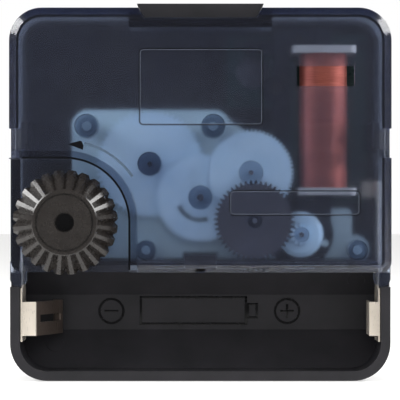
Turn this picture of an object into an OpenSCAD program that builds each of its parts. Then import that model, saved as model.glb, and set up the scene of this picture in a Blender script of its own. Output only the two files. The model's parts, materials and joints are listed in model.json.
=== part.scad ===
// Sweep clock movement: a battery quartz movement for a wall clock, seen as it is held
// for modelling with its dial face at z = 0, its clear cover towards +z and the hands' axis
// at x = 0, y = 0. The last step stands it up, with the hands' shafts pointing along +Y.

/* [Case] */
// Width of the case and of its cover
case_w = 56; // [54:0.5:62]
// Height of the case without the lug on its top edge
case_h = 54.8; // [54.4:0.2:60]
// Thickness from the dial face to the back of the cover
case_t = 16; // [15.8:0.1:18]
// Distance from the top edge down to the hands' axis
axis_drop = 27.8; // [27:0.1:27.9]
// Thickness of the side walls
wall = 1.4; // [1.2:0.1:1.5]
// Thickness of the front wall behind the dial
front_t = 1.2; // [1:0.1:1.4]
// Radius of the two upper corners
top_corner_r = 4.8; // [3:0.1:6]
// Radius of the two lower corners
low_corner_r = 5.5; // [3:0.1:7]
// Height of the housing's walls where the cover stands on them
seam_z = 6.2; // [5.8:0.1:7]
// Gap between pieces that are put together without force
fit_gap = 0.1; // [0.05:0.01:0.15]

/* [Cover] */
// Thickness of the cover's back wall
cover_t = 1.2; // [1:0.1:1.4]
// Width of the bevel around the cover's back edge
bevel = 1.1; // [0.5:0.1:1.3]
// Distance from the hands' axis down to the cover's lower edge
cover_drop = 11; // [10.8:0.1:11.2]
// Width of the notch in the cover's top edge, at its narrow end
notch_w = 16.6; // [12:0.1:20]
// Depth of the notch in the cover's top edge
notch_d = 1.5; // [1:0.1:2]
// How much wider the notch gets at each side towards its mouth
notch_flare = 0.8; // [0.2:0.1:1.2]
// How far the housing's top lug stands out above the cover
lug_rise = 0.7; // [0.3:0.1:1.2]
// Length of the two windows that the cover snaps on with
window_len = 4.3; // [3.6:0.1:5]
// Height of the windows' middle above the hands' axis
window_y = 7.95; // [7.9:0.05:9]
// Width of the slot through the cover over the coil
slot_w = 8.5; // [6:0.1:9]
// Height of the slot through the cover over the coil
slot_h = 3; // [2:0.1:4]

/* [Battery bay] */
// Diameter of the cell
cell_d = 14.5; // [14:0.1:14.7]
// Gap around the cell
cell_gap = 0.1; // [0.05:0.05:0.2]
// Distance from the hands' axis down to the cell's axis
cell_drop = 17.4; // [17.3:0.1:17.9]
// Thickness of the bay's floor under the cell
floor_t = 1.4; // [1.2:0.1:1.6]
// Width of the flat band along the middle of the bay's floor
floor_band = 5.3; // [4.5:0.1:6]
// Height of the bay's rim above the dial face
rim_z = 13; // [12.7:0.1:13.4]
// Thickness of the wall between the bay and the wheels
partition_t = 0.7; // [0.5:0.1:0.8]
// How far the bay's lower rim reaches over the cell
lip = 0.85; // [0.4:0.05:1]
// Thickness of the contacts' strip
strip_t = 0.25; // [0.2:0.05:0.3]
// Width of the spring leaf of the negative contact
leaf_w = 5; // [4:0.1:6]

/* [Setting knob] */
// Place of the knob's axis to the side of the hands' axis
knob_x = -19.8; // [-19.9:0.05:-19.6]
// Place of the knob's axis above or below the hands' axis
knob_y = -3.65; // [-3.8:0.05:-3.3]
// Outer radius of the knob
knob_r = 7.7; // [6.5:0.1:7.8]
// Height of the knob's toothed wheel
knob_h = 3.8; // [3:0.1:5]
// Radius of the flat hub in the middle of the knob
knob_hub_r = 4; // [3:0.1:4.4]
// Number of radial grips cut into the knob
knob_teeth = 24; // [18:1:30]
// Height of the pocket's floor above the dial face
pocket_z = 12; // [11.8:0.1:12.4]
// Gap between the knob's outer edge and the pocket's round wall
pocket_gap = 1.6; // [1:0.1:1.7]
// Thickness of the pocket's wall
pocket_wall = 1.2; // [1:0.1:1.3]
// Width across the flats of the shaft's end in the knob
shaft_flat = 2.6; // [2:0.1:2.8]

/* [Hand shafts] */
// Radius of the threaded neck
neck_r = 3.9; // [3.6:0.1:4.5]
// Length of the threaded neck in front of the dial face
neck_len = 9.5; // [5:0.5:16]
// Radius of the hour hand's seat
hour_seat_r = 2.5; // [2.5:0.05:2.8]
// Radius of the minute hand's seat
minute_seat_r = 1.65; // [1.6:0.01:1.68]
// Width across the two flats of the minute hand's seat
minute_flat = 2.8; // [2.4:0.1:3.1]
// Radius of the seconds hand's seat
seconds_seat_r = 0.5; // [0.4:0.05:0.6]
// Length of each hand's seat
seat_len = 2.4; // [1.8:0.1:3]
// Gap between each shaft and the tube that it turns in
shaft_gap = 0.07; // [0.04:0.01:0.09]

/* [Gear train] */
// Place of the third wheel's axis: sideways
third_x = -7.45; // [-7.6:0.05:-7.2]
// Place of the third wheel's axis: upwards
third_y = 4.95; // [4.9:0.05:5.2]
// Place of the reducing wheel's axis: sideways
reducer_x = 7.45; // [7.2:0.05:7.7]
// Place of the reducing wheel's axis: upwards
reducer_y = 3.65; // [3.4:0.05:3.9]
// Place of the step wheel's axis: sideways
step_x = 8; // [7.8:0.05:8.2]
// Place of the step wheel's axis: upwards
step_y = -3.4; // [-3.6:0.05:-3.2]
// Place of the rotor's axis: sideways
rotor_x = 14.85; // [14.6:0.05:15.1]
// Place of the rotor's axis: upwards
rotor_y = -5.45; // [-5.5:0.05:-5.2]
// Thickness of the wheels
wheel_t = 0.65; // [0.5:0.05:0.7]
// Free height above each train wheel, where the next pinion meshes
train_gap = 0.75; // [0.65:0.05:0.8]
// Free height between the wheels of the hands
run_gap = 0.3; // [0.25:0.05:0.35]
// Play between two meshing teeth, at each wheel
backlash = 0.05; // [0.03:0.01:0.08]
// Thickness of the gear plate
plate_t = 1; // [0.8:0.05:1.2]
// Radius of the wheels' steel arbors
arbor_r = 0.35; // [0.25:0.05:0.4]
// Gap between an arbor and its bearing
pivot_gap = 0.06; // [0.03:0.01:0.09]
// Module of the hands' wheels
hand_module = 0.36; // [0.355:0.001:0.362]

/* [Motor] */
// Place of the coil's axis to the side of the hands' axis
coil_x = 18.3; // [18:0.1:18.6]
// Outer radius of the winding
coil_r = 3.55; // [3:0.05:3.8]
// Length of the winding
coil_len = 19.9; // [18:0.1:20.4]
// Height of the winding's lower end above the hands' axis
coil_y = 1.45; // [1.3:0.05:1.8]
// Thickness of the bobbin's end flanges
flange_t = 1.1; // [0.8:0.1:1.2]
// Thickness of the stator's sheet and of the core
steel_t = 0.8; // [0.6:0.1:0.9]
// Width of the core and of the stator's leg
core_w = 2.4; // [2:0.1:2.6]
// Radius of the rotor's magnet
magnet_r = 2.4; // [2:0.1:2.5]
// Gap between the magnet and the stator
air_gap = 0.35; // [0.3:0.05:0.4]
// Radius of the rotor's white disc
disc_r = 3.4; // [3:0.1:3.5]

/* [Hidden] */
$fn = 48;

// Colours, as the photograph shows them
black_plastic = [0.09, 0.09, 0.1];
clear_blue = [0.25, 0.3, 0.42, 0.45];
white_plastic = [0.82, 0.88, 0.93];
dark_plastic = [0.12, 0.12, 0.16];
knob_brown = [0.2, 0.18, 0.17];
copper = [0.72, 0.4, 0.3];
nickel = [0.86, 0.84, 0.8];
brass = [0.8, 0.65, 0.3];
steel = [0.55, 0.56, 0.58];
board_green = [0.08, 0.16, 0.13];

// Numbers of teeth
rotor_teeth = 12;
step_teeth = 48;
step_pinion_teeth = 8;
reducer_teeth = 64;
reducer_pinion_teeth = 16;
seconds_teeth = 60;
seconds_pinion_teeth = 8;
third_teeth = 60;
third_pinion_teeth = 8;
centre_teeth = 64;
cannon_teeth = 12;
intermediate_teeth = 36;
intermediate_pinion_teeth = 10;
hour_teeth = 40;
setting_teeth = 29;

// Shape of a tooth, its height and depth in shares of the module
pressure_angle = 20;
tooth_top = 1;
tooth_root = 1.25;
flank_steps = 4;

// Sides of the straight-sided holes that the toothed wheels have
hole_sides = 32;

// How far cutting shapes run past a surface, and pieces into their carrier
past = 1;
sunk = 0.5;

// Edges of the case
left_x = -case_w / 2;
right_x = case_w / 2;
top_y = axis_drop;
bottom_y = axis_drop - case_h;
inner_x = case_w / 2 - wall;
cover_low_y = -cover_drop;
cover_under_z = case_t - cover_t;
cover_low_r = bevel + 0.5;
lug_low_z = 2;
lug_top_z = rim_z + 0.5;

// Battery bay
cell_room = cell_d / 2 + cell_gap;
cell_z = floor_t + cell_room;
bay_top_y = cell_room - cell_drop;
bay_low_y = bottom_y + wall;
partition_y = bay_top_y + partition_t;
facet_angle = 2 * atan(floor_band / 2 / cell_room);
facet_t = 1;
band_top_y = floor_band / 2 - cell_drop;
band_low_y = -floor_band / 2 - cell_drop;
partition_top_z = rim_z - 0.6;
lip_t = 1;

// Contacts
strip_x = inner_x - fit_gap - strip_t;
neck_low_z = seam_z - 0.5;
neck_high_z = pocket_z - 1.6;
strip_low_z = 5;
strip_high_z = partition_top_z;
strip_low_y = bay_low_y + 4.3;
strip_bay_y = cover_low_y - 2.4;
strip_end_y = partition_y + 1.6;
leaf_y = -0.5 - cell_drop;
leaf_top_x = strip_x - 2.1;
leaf_tip_x = strip_x - 5.4;
leaf_tip_z = 4.4;
leaf_slot_w = 1.1;
curl_r = 0.9;
lip_x = strip_x - 1.2;
lip_low_z = 6;
foot_z = front_t + 0.2;
foot_end_x = 14.2;
foot_w = 1.3;
foot_y = partition_y - foot_w - 0.4;
tab_w = 2.4;

// Layers of the wheels, counted up from the dial face
neck_flange_t = 0.25;
hour_z = front_t + neck_flange_t + run_gap;
setting_z = hour_z + wheel_t + run_gap;
centre_z = setting_z + wheel_t + 0.55 + run_gap;
plate_z = centre_z + wheel_t + train_gap;
plate_top_z = plate_z + plate_t;
third_z = plate_top_z + run_gap + 0.2;
seconds_z = third_z + wheel_t + train_gap + 0.1;
reducer_z = seconds_z + wheel_t + train_gap;
step_z = reducer_z + wheel_t + train_gap;
step_top_z = step_z + wheel_t;

// How far a pinion stands out beyond its mate
pinion_over = 0.15;

// Axes of the wheels
hands_axis = [0, 0];
third_axis = [third_x, third_y];
reducer_axis = [reducer_x, reducer_y];
step_axis = [step_x, step_y];
rotor_axis = [rotor_x, rotor_y];
knob_axis = [knob_x, knob_y];

// Modules, from the distance between the axes and the teeth on them
step_module = module_of(step_axis, rotor_axis, rotor_teeth, step_teeth);
reducer_module = module_of(step_axis, reducer_axis, step_pinion_teeth, reducer_teeth);
seconds_module = module_of(reducer_axis, hands_axis, reducer_pinion_teeth, seconds_teeth);
third_module = module_of(hands_axis, third_axis, seconds_pinion_teeth, third_teeth);
centre_module = module_of(third_axis, hands_axis, third_pinion_teeth, centre_teeth);
motion_reach = hand_module * (cannon_teeth + intermediate_teeth) / 2;
setting_reach = hand_module * (setting_teeth + intermediate_teeth) / 2;
hour_module = 2 * motion_reach / (intermediate_pinion_teeth + hour_teeth);
intermediate_axis = meeting_point(hands_axis, motion_reach, knob_axis, setting_reach);

// Turn of each wheel at rest, so that every pair is in mesh
rotor_phase = 0;
step_phase = mesh_phase(rotor_phase, rotor_teeth, step_teeth, rotor_axis, step_axis);
reducer_phase = mesh_phase(step_phase, step_pinion_teeth, reducer_teeth,
    step_axis, reducer_axis);
seconds_phase = mesh_phase(reducer_phase, reducer_pinion_teeth, seconds_teeth,
    reducer_axis, hands_axis);
third_phase = mesh_phase(seconds_phase, seconds_pinion_teeth, third_teeth,
    hands_axis, third_axis);
centre_phase = mesh_phase(third_phase, third_pinion_teeth, centre_teeth,
    third_axis, hands_axis);
setting_phase = 0;
intermediate_phase = mesh_phase(setting_phase, setting_teeth, intermediate_teeth,
    knob_axis, intermediate_axis);
cannon_phase = mesh_phase(intermediate_phase, intermediate_teeth, cannon_teeth,
    intermediate_axis, hands_axis);
hour_phase = mesh_phase(intermediate_phase, intermediate_pinion_teeth, hour_teeth,
    intermediate_axis, hands_axis);

// Shafts of the hands, all pointing away from the dial face
seconds_shaft_r = minute_seat_r / 2 - 0.05;
seconds_thin_r = 0.5;
minute_bore_r = seconds_shaft_r + shaft_gap;
minute_thin_r = minute_seat_r - 0.4;
hour_bore_r = minute_seat_r + shaft_gap;
hour_run_r = hour_seat_r + 0.2;
neck_bore_r = hour_run_r + shaft_gap;
neck_root_r = neck_r + 0.3;
neck_flange_r = neck_r + 1.5;
hour_tip_z = -neck_len - seat_len - 0.1;
minute_tip_z = hour_tip_z - seat_len - 0.3;
seconds_tip_z = minute_tip_z - seat_len / 2 - 0.3;
spring_t = 0.2;
spring_z = plate_z - 0.3 - spring_t;

// Pegs of the gear plate, in the housing's posts below and the cover's tubes above
post_places = [[-16.7, 10.5], [1.9, 10.5], [23.1, -7.75]];
free_peg_place = [-8, -7.75];
peg_r = 0.65;
peg_foot_r = 1.3;
peg_foot_z = reducer_z - 0.1;
peg_top_z = cover_under_z - 1.9;
post_r = 1.8;
spigot_r = 0.9;
spigot_len = 1.2;
high_tube_r = 1.75;
low_tube_r = 1.45;

// Tubes and bearings
bearing_tube_r = 1.75;
slim_tube_r = 1.1;
slim_boss_r = 1.1;
bearing_rise = 0.3;
arbor_low_z = plate_z + 0.1;
arbor_top_z = cover_under_z - 0.9;
third_low_z = front_t / 2 + 0.1;
third_top_z = third_z + wheel_t + run_gap + 1.6;
seconds_top_z = reducer_z + wheel_t + run_gap + 1.4;
intermediate_pin_r = 0.55;

// Gear plate
plate_low_y = partition_y + 0.3;
plate_high_y = post_places[0][1] + 2.6;
plate_left_x = post_places[0][0] - 2.5;
plate_mid_x = post_places[1][0] + 2.6;
plate_right_x = 11.7;
plate_slope_y = 6.6;
plate_arm_y = -1.6;
plate_arm_x = post_places[2][0] - 0.4;
plate_hollow_r = 6.2;

// Motor
stator_z = third_z + 0.2;
core_z = stator_z + steel_t;
coil_z = core_z + steel_t / 2;
coil_top_y = coil_y + coil_len;
leg_x = coil_x - 6.2;
stator_ring_r = 5;
stator_low_y = partition_y + 0.25;
stator_high_y = coil_top_y + flange_t + 0.15 + core_w;
stator_pin_turns = [200, 340];
stator_pin_reach = 4;
stator_pin_r = 0.5;
stator_collar_r = 0.9;
core_pin_place = [14.7, stator_high_y - core_w / 2];
core_pin_r = 0.6;
core_post_r = 1.1;
eye_place = [11.26, 16.1];
eye_r = 2;
eye_pin_r = 0.95;
eye_post_r = 1.4;
flange_w = 9.4;
flange_cut = 0.8;
flange_h = 2 * coil_r + 1;
barrel_w = core_w + 1.2;
barrel_h = steel_t + 1.2;
core_low_y = coil_y - flange_t - core_w + 0.3;
magnet_z = stator_z - 0.2;
magnet_h = 2.4;
disc_z = magnet_z + magnet_h;
disc_t = 0.6;
rotor_sleeve_r = 1.1;

// Snaps that hold the cover
tongue_t = 1;
tongue_x = inner_x - 0.3;
tongue_low_y = window_y - window_len / 2 + 1.35;
tongue_high_y = window_y + window_len / 2 + 0.9;
tongue_top_z = case_t - 2.4;
window_low_z = 9.5;
window_top_z = cover_under_z - 0.2;
window_recess = 0.3;
barb_z = window_low_z + 0.2;
barb_h = 1.6;
barb_d = 1;
hook_half_w = 2.3;
hook_t = 0.9;
hook_top_z = cover_under_z - 0.4;
hook_catch_z = rim_z + 0.6;
hook_catch_d = 0.5;
hook_slot_w = 1.5;
hook_slot_y = cover_low_y + 0.05;
hook_slot_d = 0.5;
ear_w = 2.4;
ear_len = 2.1;
ear_low_z = rim_z - 2;

// Circuit board
board_z = front_t + 1.2;
board_t = 0.8;
board_top_z = board_z + board_t;
board_left_x = 4;
board_step_x = 12.4;
board_right_x = tongue_x - tongue_t - 0.3;
board_low_y = -1;
board_step_y = 13.6;
board_high_y = top_y - wall - 1.9;
board_foot_places = [[5.6, 15.2], [5.6, 22.9], [24, 4.6], [24.2, 22.9]];
board_foot_r = 1.1;
board_pin_r = 0.55;
chip_place = [7.9, 18.9];
chip_r = 2.5;
chip_h = 1.1;
crystal_place = [9.7, 22.6];
crystal_r = 0.95;
crystal_len = 5.6;
coil_pin_r = 0.35;
coil_pin_places = [for (side = [-1, 1]) [coil_x + side * 3.2, coil_top_y + flange_t / 2]];
solder_places = concat(coil_pin_places, [[13.6, 0.3], [23.6, 1.2], [11.6, 20.3]]);
solder_r = 0.7;
solder_h = 0.6;

// Setting shaft and knob
setting_shaft_r = 1.3;
setting_boss_r = 2.2;
pocket_low_z = pocket_z - 1.2;
pocket_r = knob_r + pocket_gap;
stem_r = 3;
stem_z = pocket_z + 0.15;
knob_z = pocket_z + 1.2;
knob_top_z = knob_z + knob_h;
knob_edge_z = knob_top_z - 2.5;
knob_ring_r = knob_hub_r + 0.7;
knob_groove_w = 0.25;
knob_groove_d = 0.3;
grip_depth = 0.55;
grip_deep = 0.95;
grip_side = 0.5;
knob_hole_r = 1.45;
shaft_top_z = knob_top_z - 1.4;

// Angle in degrees by which an involute runs ahead at a radius
function involute(radius, base_r) =
    let (turn = acos(min(1, base_r / radius)))
    tan(turn) * 180 / PI - turn;

// Points of one flank of a tooth, from the root outwards, as radius and half angle
function flank(pitch_r, base_r, root_r, tip_r, half) =
    let (start_r = max(base_r, root_r))
    concat(
        root_r < base_r ? [[root_r, half + involute(pitch_r, base_r)]] : [],
        [for (i = [0:flank_steps])
            let (radius = start_r + (tip_r - start_r) * i / flank_steps)
            [radius, half + involute(pitch_r, base_r) - involute(radius, base_r)]]);

// Outline of a toothed wheel with involute teeth
function toothed_outline(teeth, size) =
    let (pitch_r = teeth * size / 2)
    let (base_r = pitch_r * cos(pressure_angle))
    let (half = 90 / teeth - backlash / 2 / pitch_r * 180 / PI)
    let (side = flank(pitch_r, base_r, pitch_r - tooth_root * size,
        pitch_r + tooth_top * size, half))
    [for (k = [0:teeth - 1])
        each concat(
            [for (p = side) polar(p[0], k * 360 / teeth - p[1])],
            [for (p = reversed(side)) polar(p[0], k * 360 / teeth + p[1])])];

function reversed(list) = [for (i = [len(list) - 1:-1:0]) list[i]];

function polar(radius, angle) = [radius * cos(angle), radius * sin(angle)];

function bearing(from, to) = atan2(to[1] - from[1], to[0] - from[0]);

function module_of(from, to, teeth_a, teeth_b) = 2 * norm(to - from) / (teeth_a + teeth_b);

function tip_radius(teeth, size) = (teeth / 2 + tooth_top) * size;

// Turn of the second wheel that puts its gap against the first wheel's tooth
function mesh_phase(phase, teeth, next_teeth, from, to) =
    bearing(from, to) + 180 + 180 / next_teeth
    + (bearing(from, to) - phase) * teeth / next_teeth;

// Point at one distance from a and another from b, on the side towards -y
function meeting_point(a, reach_a, b, reach_b) =
    let (apart = norm(b - a))
    let (swing = acos((apart * apart + reach_a * reach_a - reach_b * reach_b)
        / (2 * apart * reach_a)))
    a + polar(reach_a, bearing(a, b) + swing);

// Corner radius of a straight-sided hole whose flats touch a shaft
function hole_around(radius) = radius / cos(180 / hole_sides);

// Height of the bay's floor and facets at a place across the cell
function facet_z(y) = floor_t + (abs(y + cell_drop) - floor_band / 2) * tan(facet_angle);

// Outline of a strip of sheet that follows a path, with sharp bends
function ribbon(path, thickness) =
    concat(beside(path, thickness / 2), reversed(beside(path, -thickness / 2)));

function beside(path, shift) = [for (i = [0:len(path) - 1]) path[i] + shift * mitre(path, i)];

function mitre(path, i) =
    let (before = across(path[max(i - 1, 0)], path[max(i, 1)]))
    let (after = across(path[min(i, len(path) - 2)], path[min(i + 1, len(path) - 1)]))
    (before + after) / (1 + before * after);

function across(from, to) = [from[1] - to[1], to[0] - from[0]] / norm(to - from);

// Turns everything from the drawing's frame to the standing part
module upright() {
    rotate([90, 0, 0]) children();
}

module at(place, z) {
    translate([place[0], place[1], z]) children();
}

// Toothed wheel of one thickness around an axis, with a straight-sided hole
module toothed(axis, z, height, teeth, size, phase, hole_r) {
    at(axis, z)
        rotate([0, 0, phase])
            linear_extrude(height)
                difference() {
                    polygon(toothed_outline(teeth, size));
                    circle(hole_around(hole_r), $fn = hole_sides);
                }
}

// Rectangle with one radius at its upper corners and another at its lower ones
module soft_rect(x0, y0, x1, y1, top_r, low_r) {
    polygon([[x0, y0 + low_r], [x0 + low_r, y0], [x1 - low_r, y0], [x1, y0 + low_r],
        [x1, y1 - top_r], [x1 - top_r, y1], [x0 + top_r, y1], [x0, y1 - top_r]]);
    for (x = [x0 + top_r, x1 - top_r])
        translate([x, y1 - top_r]) circle(top_r);
    for (x = [x0 + low_r, x1 - low_r])
        translate([x, y0 + low_r]) circle(low_r);
}

// Bar along x from an outline of y and z
module bar_x(outline, x0, x1) {
    translate([x0, 0, 0])
        rotate([90, 0, 90])
            linear_extrude(x1 - x0)
                polygon(outline);
}

// Bar along y from an outline of x and z
module bar_y(outline, y0, y1) {
    translate([0, y1, 0])
        rotate([90, 0, 0])
            linear_extrude(y1 - y0)
                polygon(outline);
}

module block(x0, y0, z0, x1, y1, z1) {
    translate([x0, y0, z0]) cube([x1 - x0, y1 - y0, z1 - z0]);
}

module rod(place, radius, z0, z1) {
    at(place, z0) cylinder(h = z1 - z0, r = radius);
}

module layer(z0, z1) {
    translate([0, 0, z0]) linear_extrude(z1 - z0) children();
}

// Left and right copies of what is drawn on the right
module both_sides() {
    for (side = [0, 1])
        mirror([side, 0, 0]) children();
}

module case_outline(inset) {
    soft_rect(left_x + inset, bottom_y + inset, right_x - inset, top_y - inset,
        top_corner_r - inset, low_corner_r - inset);
}

module cover_outline(inset) {
    soft_rect(left_x + inset, cover_low_y + inset, right_x - inset, top_y - inset,
        top_corner_r - inset, max(cover_low_r - inset, 0.2));
}

// Outline of the top notch and of the lug in it, wider towards the edge
module notch_outline(gap, rise) {
    half = notch_w / 2 - gap;
    flare = notch_flare * (notch_d - gap + rise) / notch_d;
    polygon([[-half, top_y - notch_d + gap], [half, top_y - notch_d + gap],
        [half + flare, top_y + rise], [-half - flare, top_y + rise]]);
}

// Zone of the knob's pocket, open to the left and downwards
module pocket_zone(radius) {
    translate(knob_axis) circle(radius);
    translate([knob_x - case_w, knob_y + radius - case_w]) square(case_w);
    translate([knob_x + radius - case_w, knob_y - case_w]) square(case_w);
}

// Black housing: front wall, side walls, battery bay, posts, lug and snaps
module front_housing() {
    color(black_plastic) upright() difference() {
        union() {
            layer(0, front_t) case_outline(0);
            housing_walls();
            bay_walls();
            layer(lug_low_z, lug_top_z) notch_outline(fit_gap, lug_rise);
            housing_posts();
            housing_tongues();
            housing_hook();
        }
        // Room for the cell
        intersection() {
            bar_x([[bay_low_y, case_t], [bay_low_y, facet_z(bay_low_y)],
                [band_low_y, floor_t], [band_top_y, floor_t],
                [bay_top_y, facet_z(bay_top_y)], [bay_top_y, case_t]], -inner_x, inner_x);
            layer(floor_t, case_t + past) case_outline(wall);
        }
        // Seat of the threaded neck
        rod(hands_axis, neck_root_r, -past, front_t + past);
        // Blind bearings of the setting shaft and of the third wheel's arbor
        rod(knob_axis, setting_shaft_r + pivot_gap, front_t / 2, setting_z);
        rod(third_axis, arbor_r + pivot_gap, front_t / 2, setting_z);
        // Sockets for the gear plate's spigots
        for (place = post_places)
            rod(place, spigot_r + fit_gap, plate_z - spigot_len - fit_gap, plate_z + past);
        // Notches for the contacts, in both ends of the partition
        both_sides()
            block(strip_x - fit_gap, bay_top_y - past, neck_low_z - fit_gap,
                inner_x, partition_y + past, rim_z + past);
        // Step down where the floor of the knob's pocket lies on the partition
        intersection() {
            layer(pocket_low_z - fit_gap, rim_z + past)
                pocket_zone(pocket_r + pocket_wall + fit_gap);
            block(left_x - past, cover_low_y - fit_gap, seam_z,
                right_x, partition_y + fit_gap, rim_z + past);
        }
        // Hollow for the rim of the step wheel
        rod(step_axis, tip_radius(step_teeth, step_module) + run_gap + fit_gap,
            step_z - run_gap, rim_z + past);
        // Hole that the hook's mould core leaves
        block(-hook_slot_w / 2 - fit_gap, hook_slot_y - fit_gap, -past,
            hook_slot_w / 2 + fit_gap, hook_slot_y + hook_slot_d + fit_gap, cell_z);
    }
}

// Side walls, low under the cover and high around the bay, with a lip over the cell
module housing_walls() {
    difference() {
        layer(0, rim_z) case_outline(0);
        layer(-past, rim_z + past) case_outline(wall);
        block(left_x - past, cover_low_y - fit_gap, seam_z,
            right_x + past, top_y + past, rim_z + past);
        // Seats of the cover's two ears
        both_sides()
            block(right_x - ear_w - fit_gap, cover_low_y - ear_len - fit_gap,
                ear_low_z - fit_gap, right_x + past, cover_low_y, rim_z + past);
    }
    intersection() {
        layer(0, rim_z) case_outline(wall / 2);
        bar_x([[bay_low_y - wall / 2, rim_z - lip_t], [bay_low_y + lip, rim_z - lip_t / 2],
            [bay_low_y + lip, rim_z], [bay_low_y - wall / 2, rim_z]], left_x, right_x);
    }
}

// Walls around the cell: partition with its facet, floor band and lower wedge
module bay_walls() {
    drop = facet_t / cos(facet_angle);
    void_y = band_top_y + (front_t - floor_t + drop) / tan(facet_angle);
    outer_y = bottom_y + wall / 2;
    intersection() {
        layer(0, partition_top_z) case_outline(wall / 2);
        difference() {
            bar_x([[void_y, front_t / 2], [void_y, front_t],
                [partition_y, facet_z(partition_y) - drop], [partition_y, partition_top_z],
                [bay_top_y, partition_top_z], [bay_top_y, facet_z(bay_top_y)],
                [band_top_y, floor_t], [band_low_y, floor_t], [outer_y, facet_z(outer_y)],
                [outer_y, front_t / 2]], left_x, right_x);
            both_sides()
                block(inner_x - fit_gap, cover_low_y, seam_z,
                    right_x + past, partition_y + past, rim_z);
        }
    }
}

// Posts that carry the gear plate, the stator, the board, the wheels and the shaft
module housing_posts() {
    for (place = post_places)
        rod(place, post_r, 0, plate_z);
    for (place = board_foot_places) {
        rod(place, board_foot_r, 0, board_z);
        rod(place, board_pin_r, 0, board_top_z + 0.4);
    }
    rod(eye_place, eye_post_r, 0, stator_z);
    rod(eye_place, eye_pin_r, 0, core_z + 0.9);
    rod(core_pin_place, core_post_r, 0, stator_z);
    rod(core_pin_place, core_pin_r, 0, core_z + 0.6);
    rod(knob_axis, setting_boss_r, 0, setting_z - run_gap);
    rod(third_axis, slim_boss_r, 0, setting_z - run_gap);
    rod(intermediate_axis, intermediate_pin_r, 0, centre_z - 0.35);
}

// Spring tongues with a barb each, behind the windows in the cover's sides
module housing_tongues() {
    both_sides() {
        block(tongue_x - tongue_t, tongue_low_y, 0, tongue_x, tongue_high_y, tongue_top_z);
        bar_y([[tongue_x - sunk, barb_z], [tongue_x + barb_d, barb_z],
            [tongue_x, barb_z + barb_h], [tongue_x - sunk, barb_z + barb_h]],
            tongue_low_y, window_y + window_len / 2 - 2 * fit_gap);
    }
}

// Hook behind the partition that holds the cover's lower edge
module housing_hook() {
    intersection() {
        block(-hook_half_w, bottom_y, 0, hook_half_w, top_y, case_t);
        bar_x([[partition_y, 0], [partition_y + hook_t, 0],
            [partition_y + hook_t, hook_top_z], [partition_y, hook_top_z],
            [cover_low_y + wall - hook_catch_d, hook_catch_z],
            [partition_y, hook_catch_z]], left_x, right_x);
    }
}

// Clear cover over the wheels, with the knob's pocket, tubes, ears and windows
module rear_cover() {
    color(clear_blue) upright() difference() {
        union() {
            difference() {
                cover_shell();
                layer(pocket_z, case_t + past) pocket_zone(pocket_r);
            }
            pocket_walls();
            notch_wall();
            cover_tubes();
            cover_ears();
        }
        layer(seam_z - past, case_t + past) notch_outline(0, lug_rise);
        // Windows for the snap tongues
        both_sides() {
            block(inner_x - fit_gap, window_y - window_len / 2, window_low_z,
                right_x + past, window_y + window_len / 2, window_top_z);
            block(right_x - window_recess, window_y - window_len / 2, window_low_z,
                right_x + past, window_y + window_len / 2, case_t + past);
        }
        // Slot over the coil
        block(coil_x - slot_w / 2, coil_top_y - 5.1, cover_under_z - past,
            coil_x + slot_w / 2, coil_top_y - 5.1 + slot_h, case_t + past);
        // Slot and pocket for the hook
        block(-hook_slot_w / 2, hook_slot_y, rim_z,
            hook_slot_w / 2, hook_slot_y + hook_slot_d, case_t + past);
        block(-hook_half_w - fit_gap, cover_low_y + wall - hook_catch_d - fit_gap,
            hook_catch_z - fit_gap,
            hook_half_w + fit_gap, cover_low_y + wall + past, hook_top_z + fit_gap);
        cover_bores();
    }
}

// Outer shape of the cover, with a bevel around its back edge
module cover_body() {
    tall = case_t - bevel;
    upper_y = top_y - top_corner_r;
    lower_y = cover_low_y + cover_low_r;
    // Right and left edges bevelled
    bar_y([[left_x, seam_z], [right_x, seam_z], [right_x, tall], [right_x - bevel, case_t],
        [left_x + bevel, case_t], [left_x, tall]], lower_y, upper_y);
    // Upper and lower edges bevelled
    bar_x([[cover_low_y, seam_z], [top_y, seam_z], [top_y, tall], [top_y - bevel, case_t],
        [cover_low_y + bevel, case_t], [cover_low_y, tall]],
        left_x + top_corner_r, right_x - top_corner_r);
    bar_x([[cover_low_y, seam_z], [upper_y, seam_z], [upper_y, case_t],
        [cover_low_y + bevel, case_t], [cover_low_y, tall]],
        left_x + cover_low_r, right_x - cover_low_r);
    both_sides() {
        bevelled_post([right_x - top_corner_r, upper_y], top_corner_r, tall);
        bevelled_post([right_x - cover_low_r, lower_y], cover_low_r, tall);
    }
}

module bevelled_post(place, radius, tall) {
    rod(place, radius, seam_z, tall);
    at(place, tall) cylinder(h = bevel, r1 = radius, r2 = radius - bevel);
}

// Cover body hollowed from the front and opened above the partition
module cover_shell() {
    difference() {
        cover_body();
        layer(seam_z - past, cover_under_z) cover_outline(wall);
        block(-inner_x, cover_low_y - past, seam_z - past,
            inner_x, cover_low_y + wall + fit_gap, rim_z + fit_gap);
    }
}

// Floor and round wall of the knob's pocket
module pocket_walls() {
    intersection() {
        cover_body();
        union() {
            layer(pocket_low_z, pocket_z) pocket_zone(pocket_r + pocket_wall);
            layer(pocket_low_z, case_t + past)
                difference() {
                    pocket_zone(pocket_r + pocket_wall);
                    pocket_zone(pocket_r);
                }
        }
    }
}

// Wall that goes round the top notch
module notch_wall() {
    half = notch_w / 2 + notch_flare + wall;
    block(-half, top_y - notch_d - wall, seam_z, half, top_y - wall / 2, cover_under_z + sunk);
}

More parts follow.
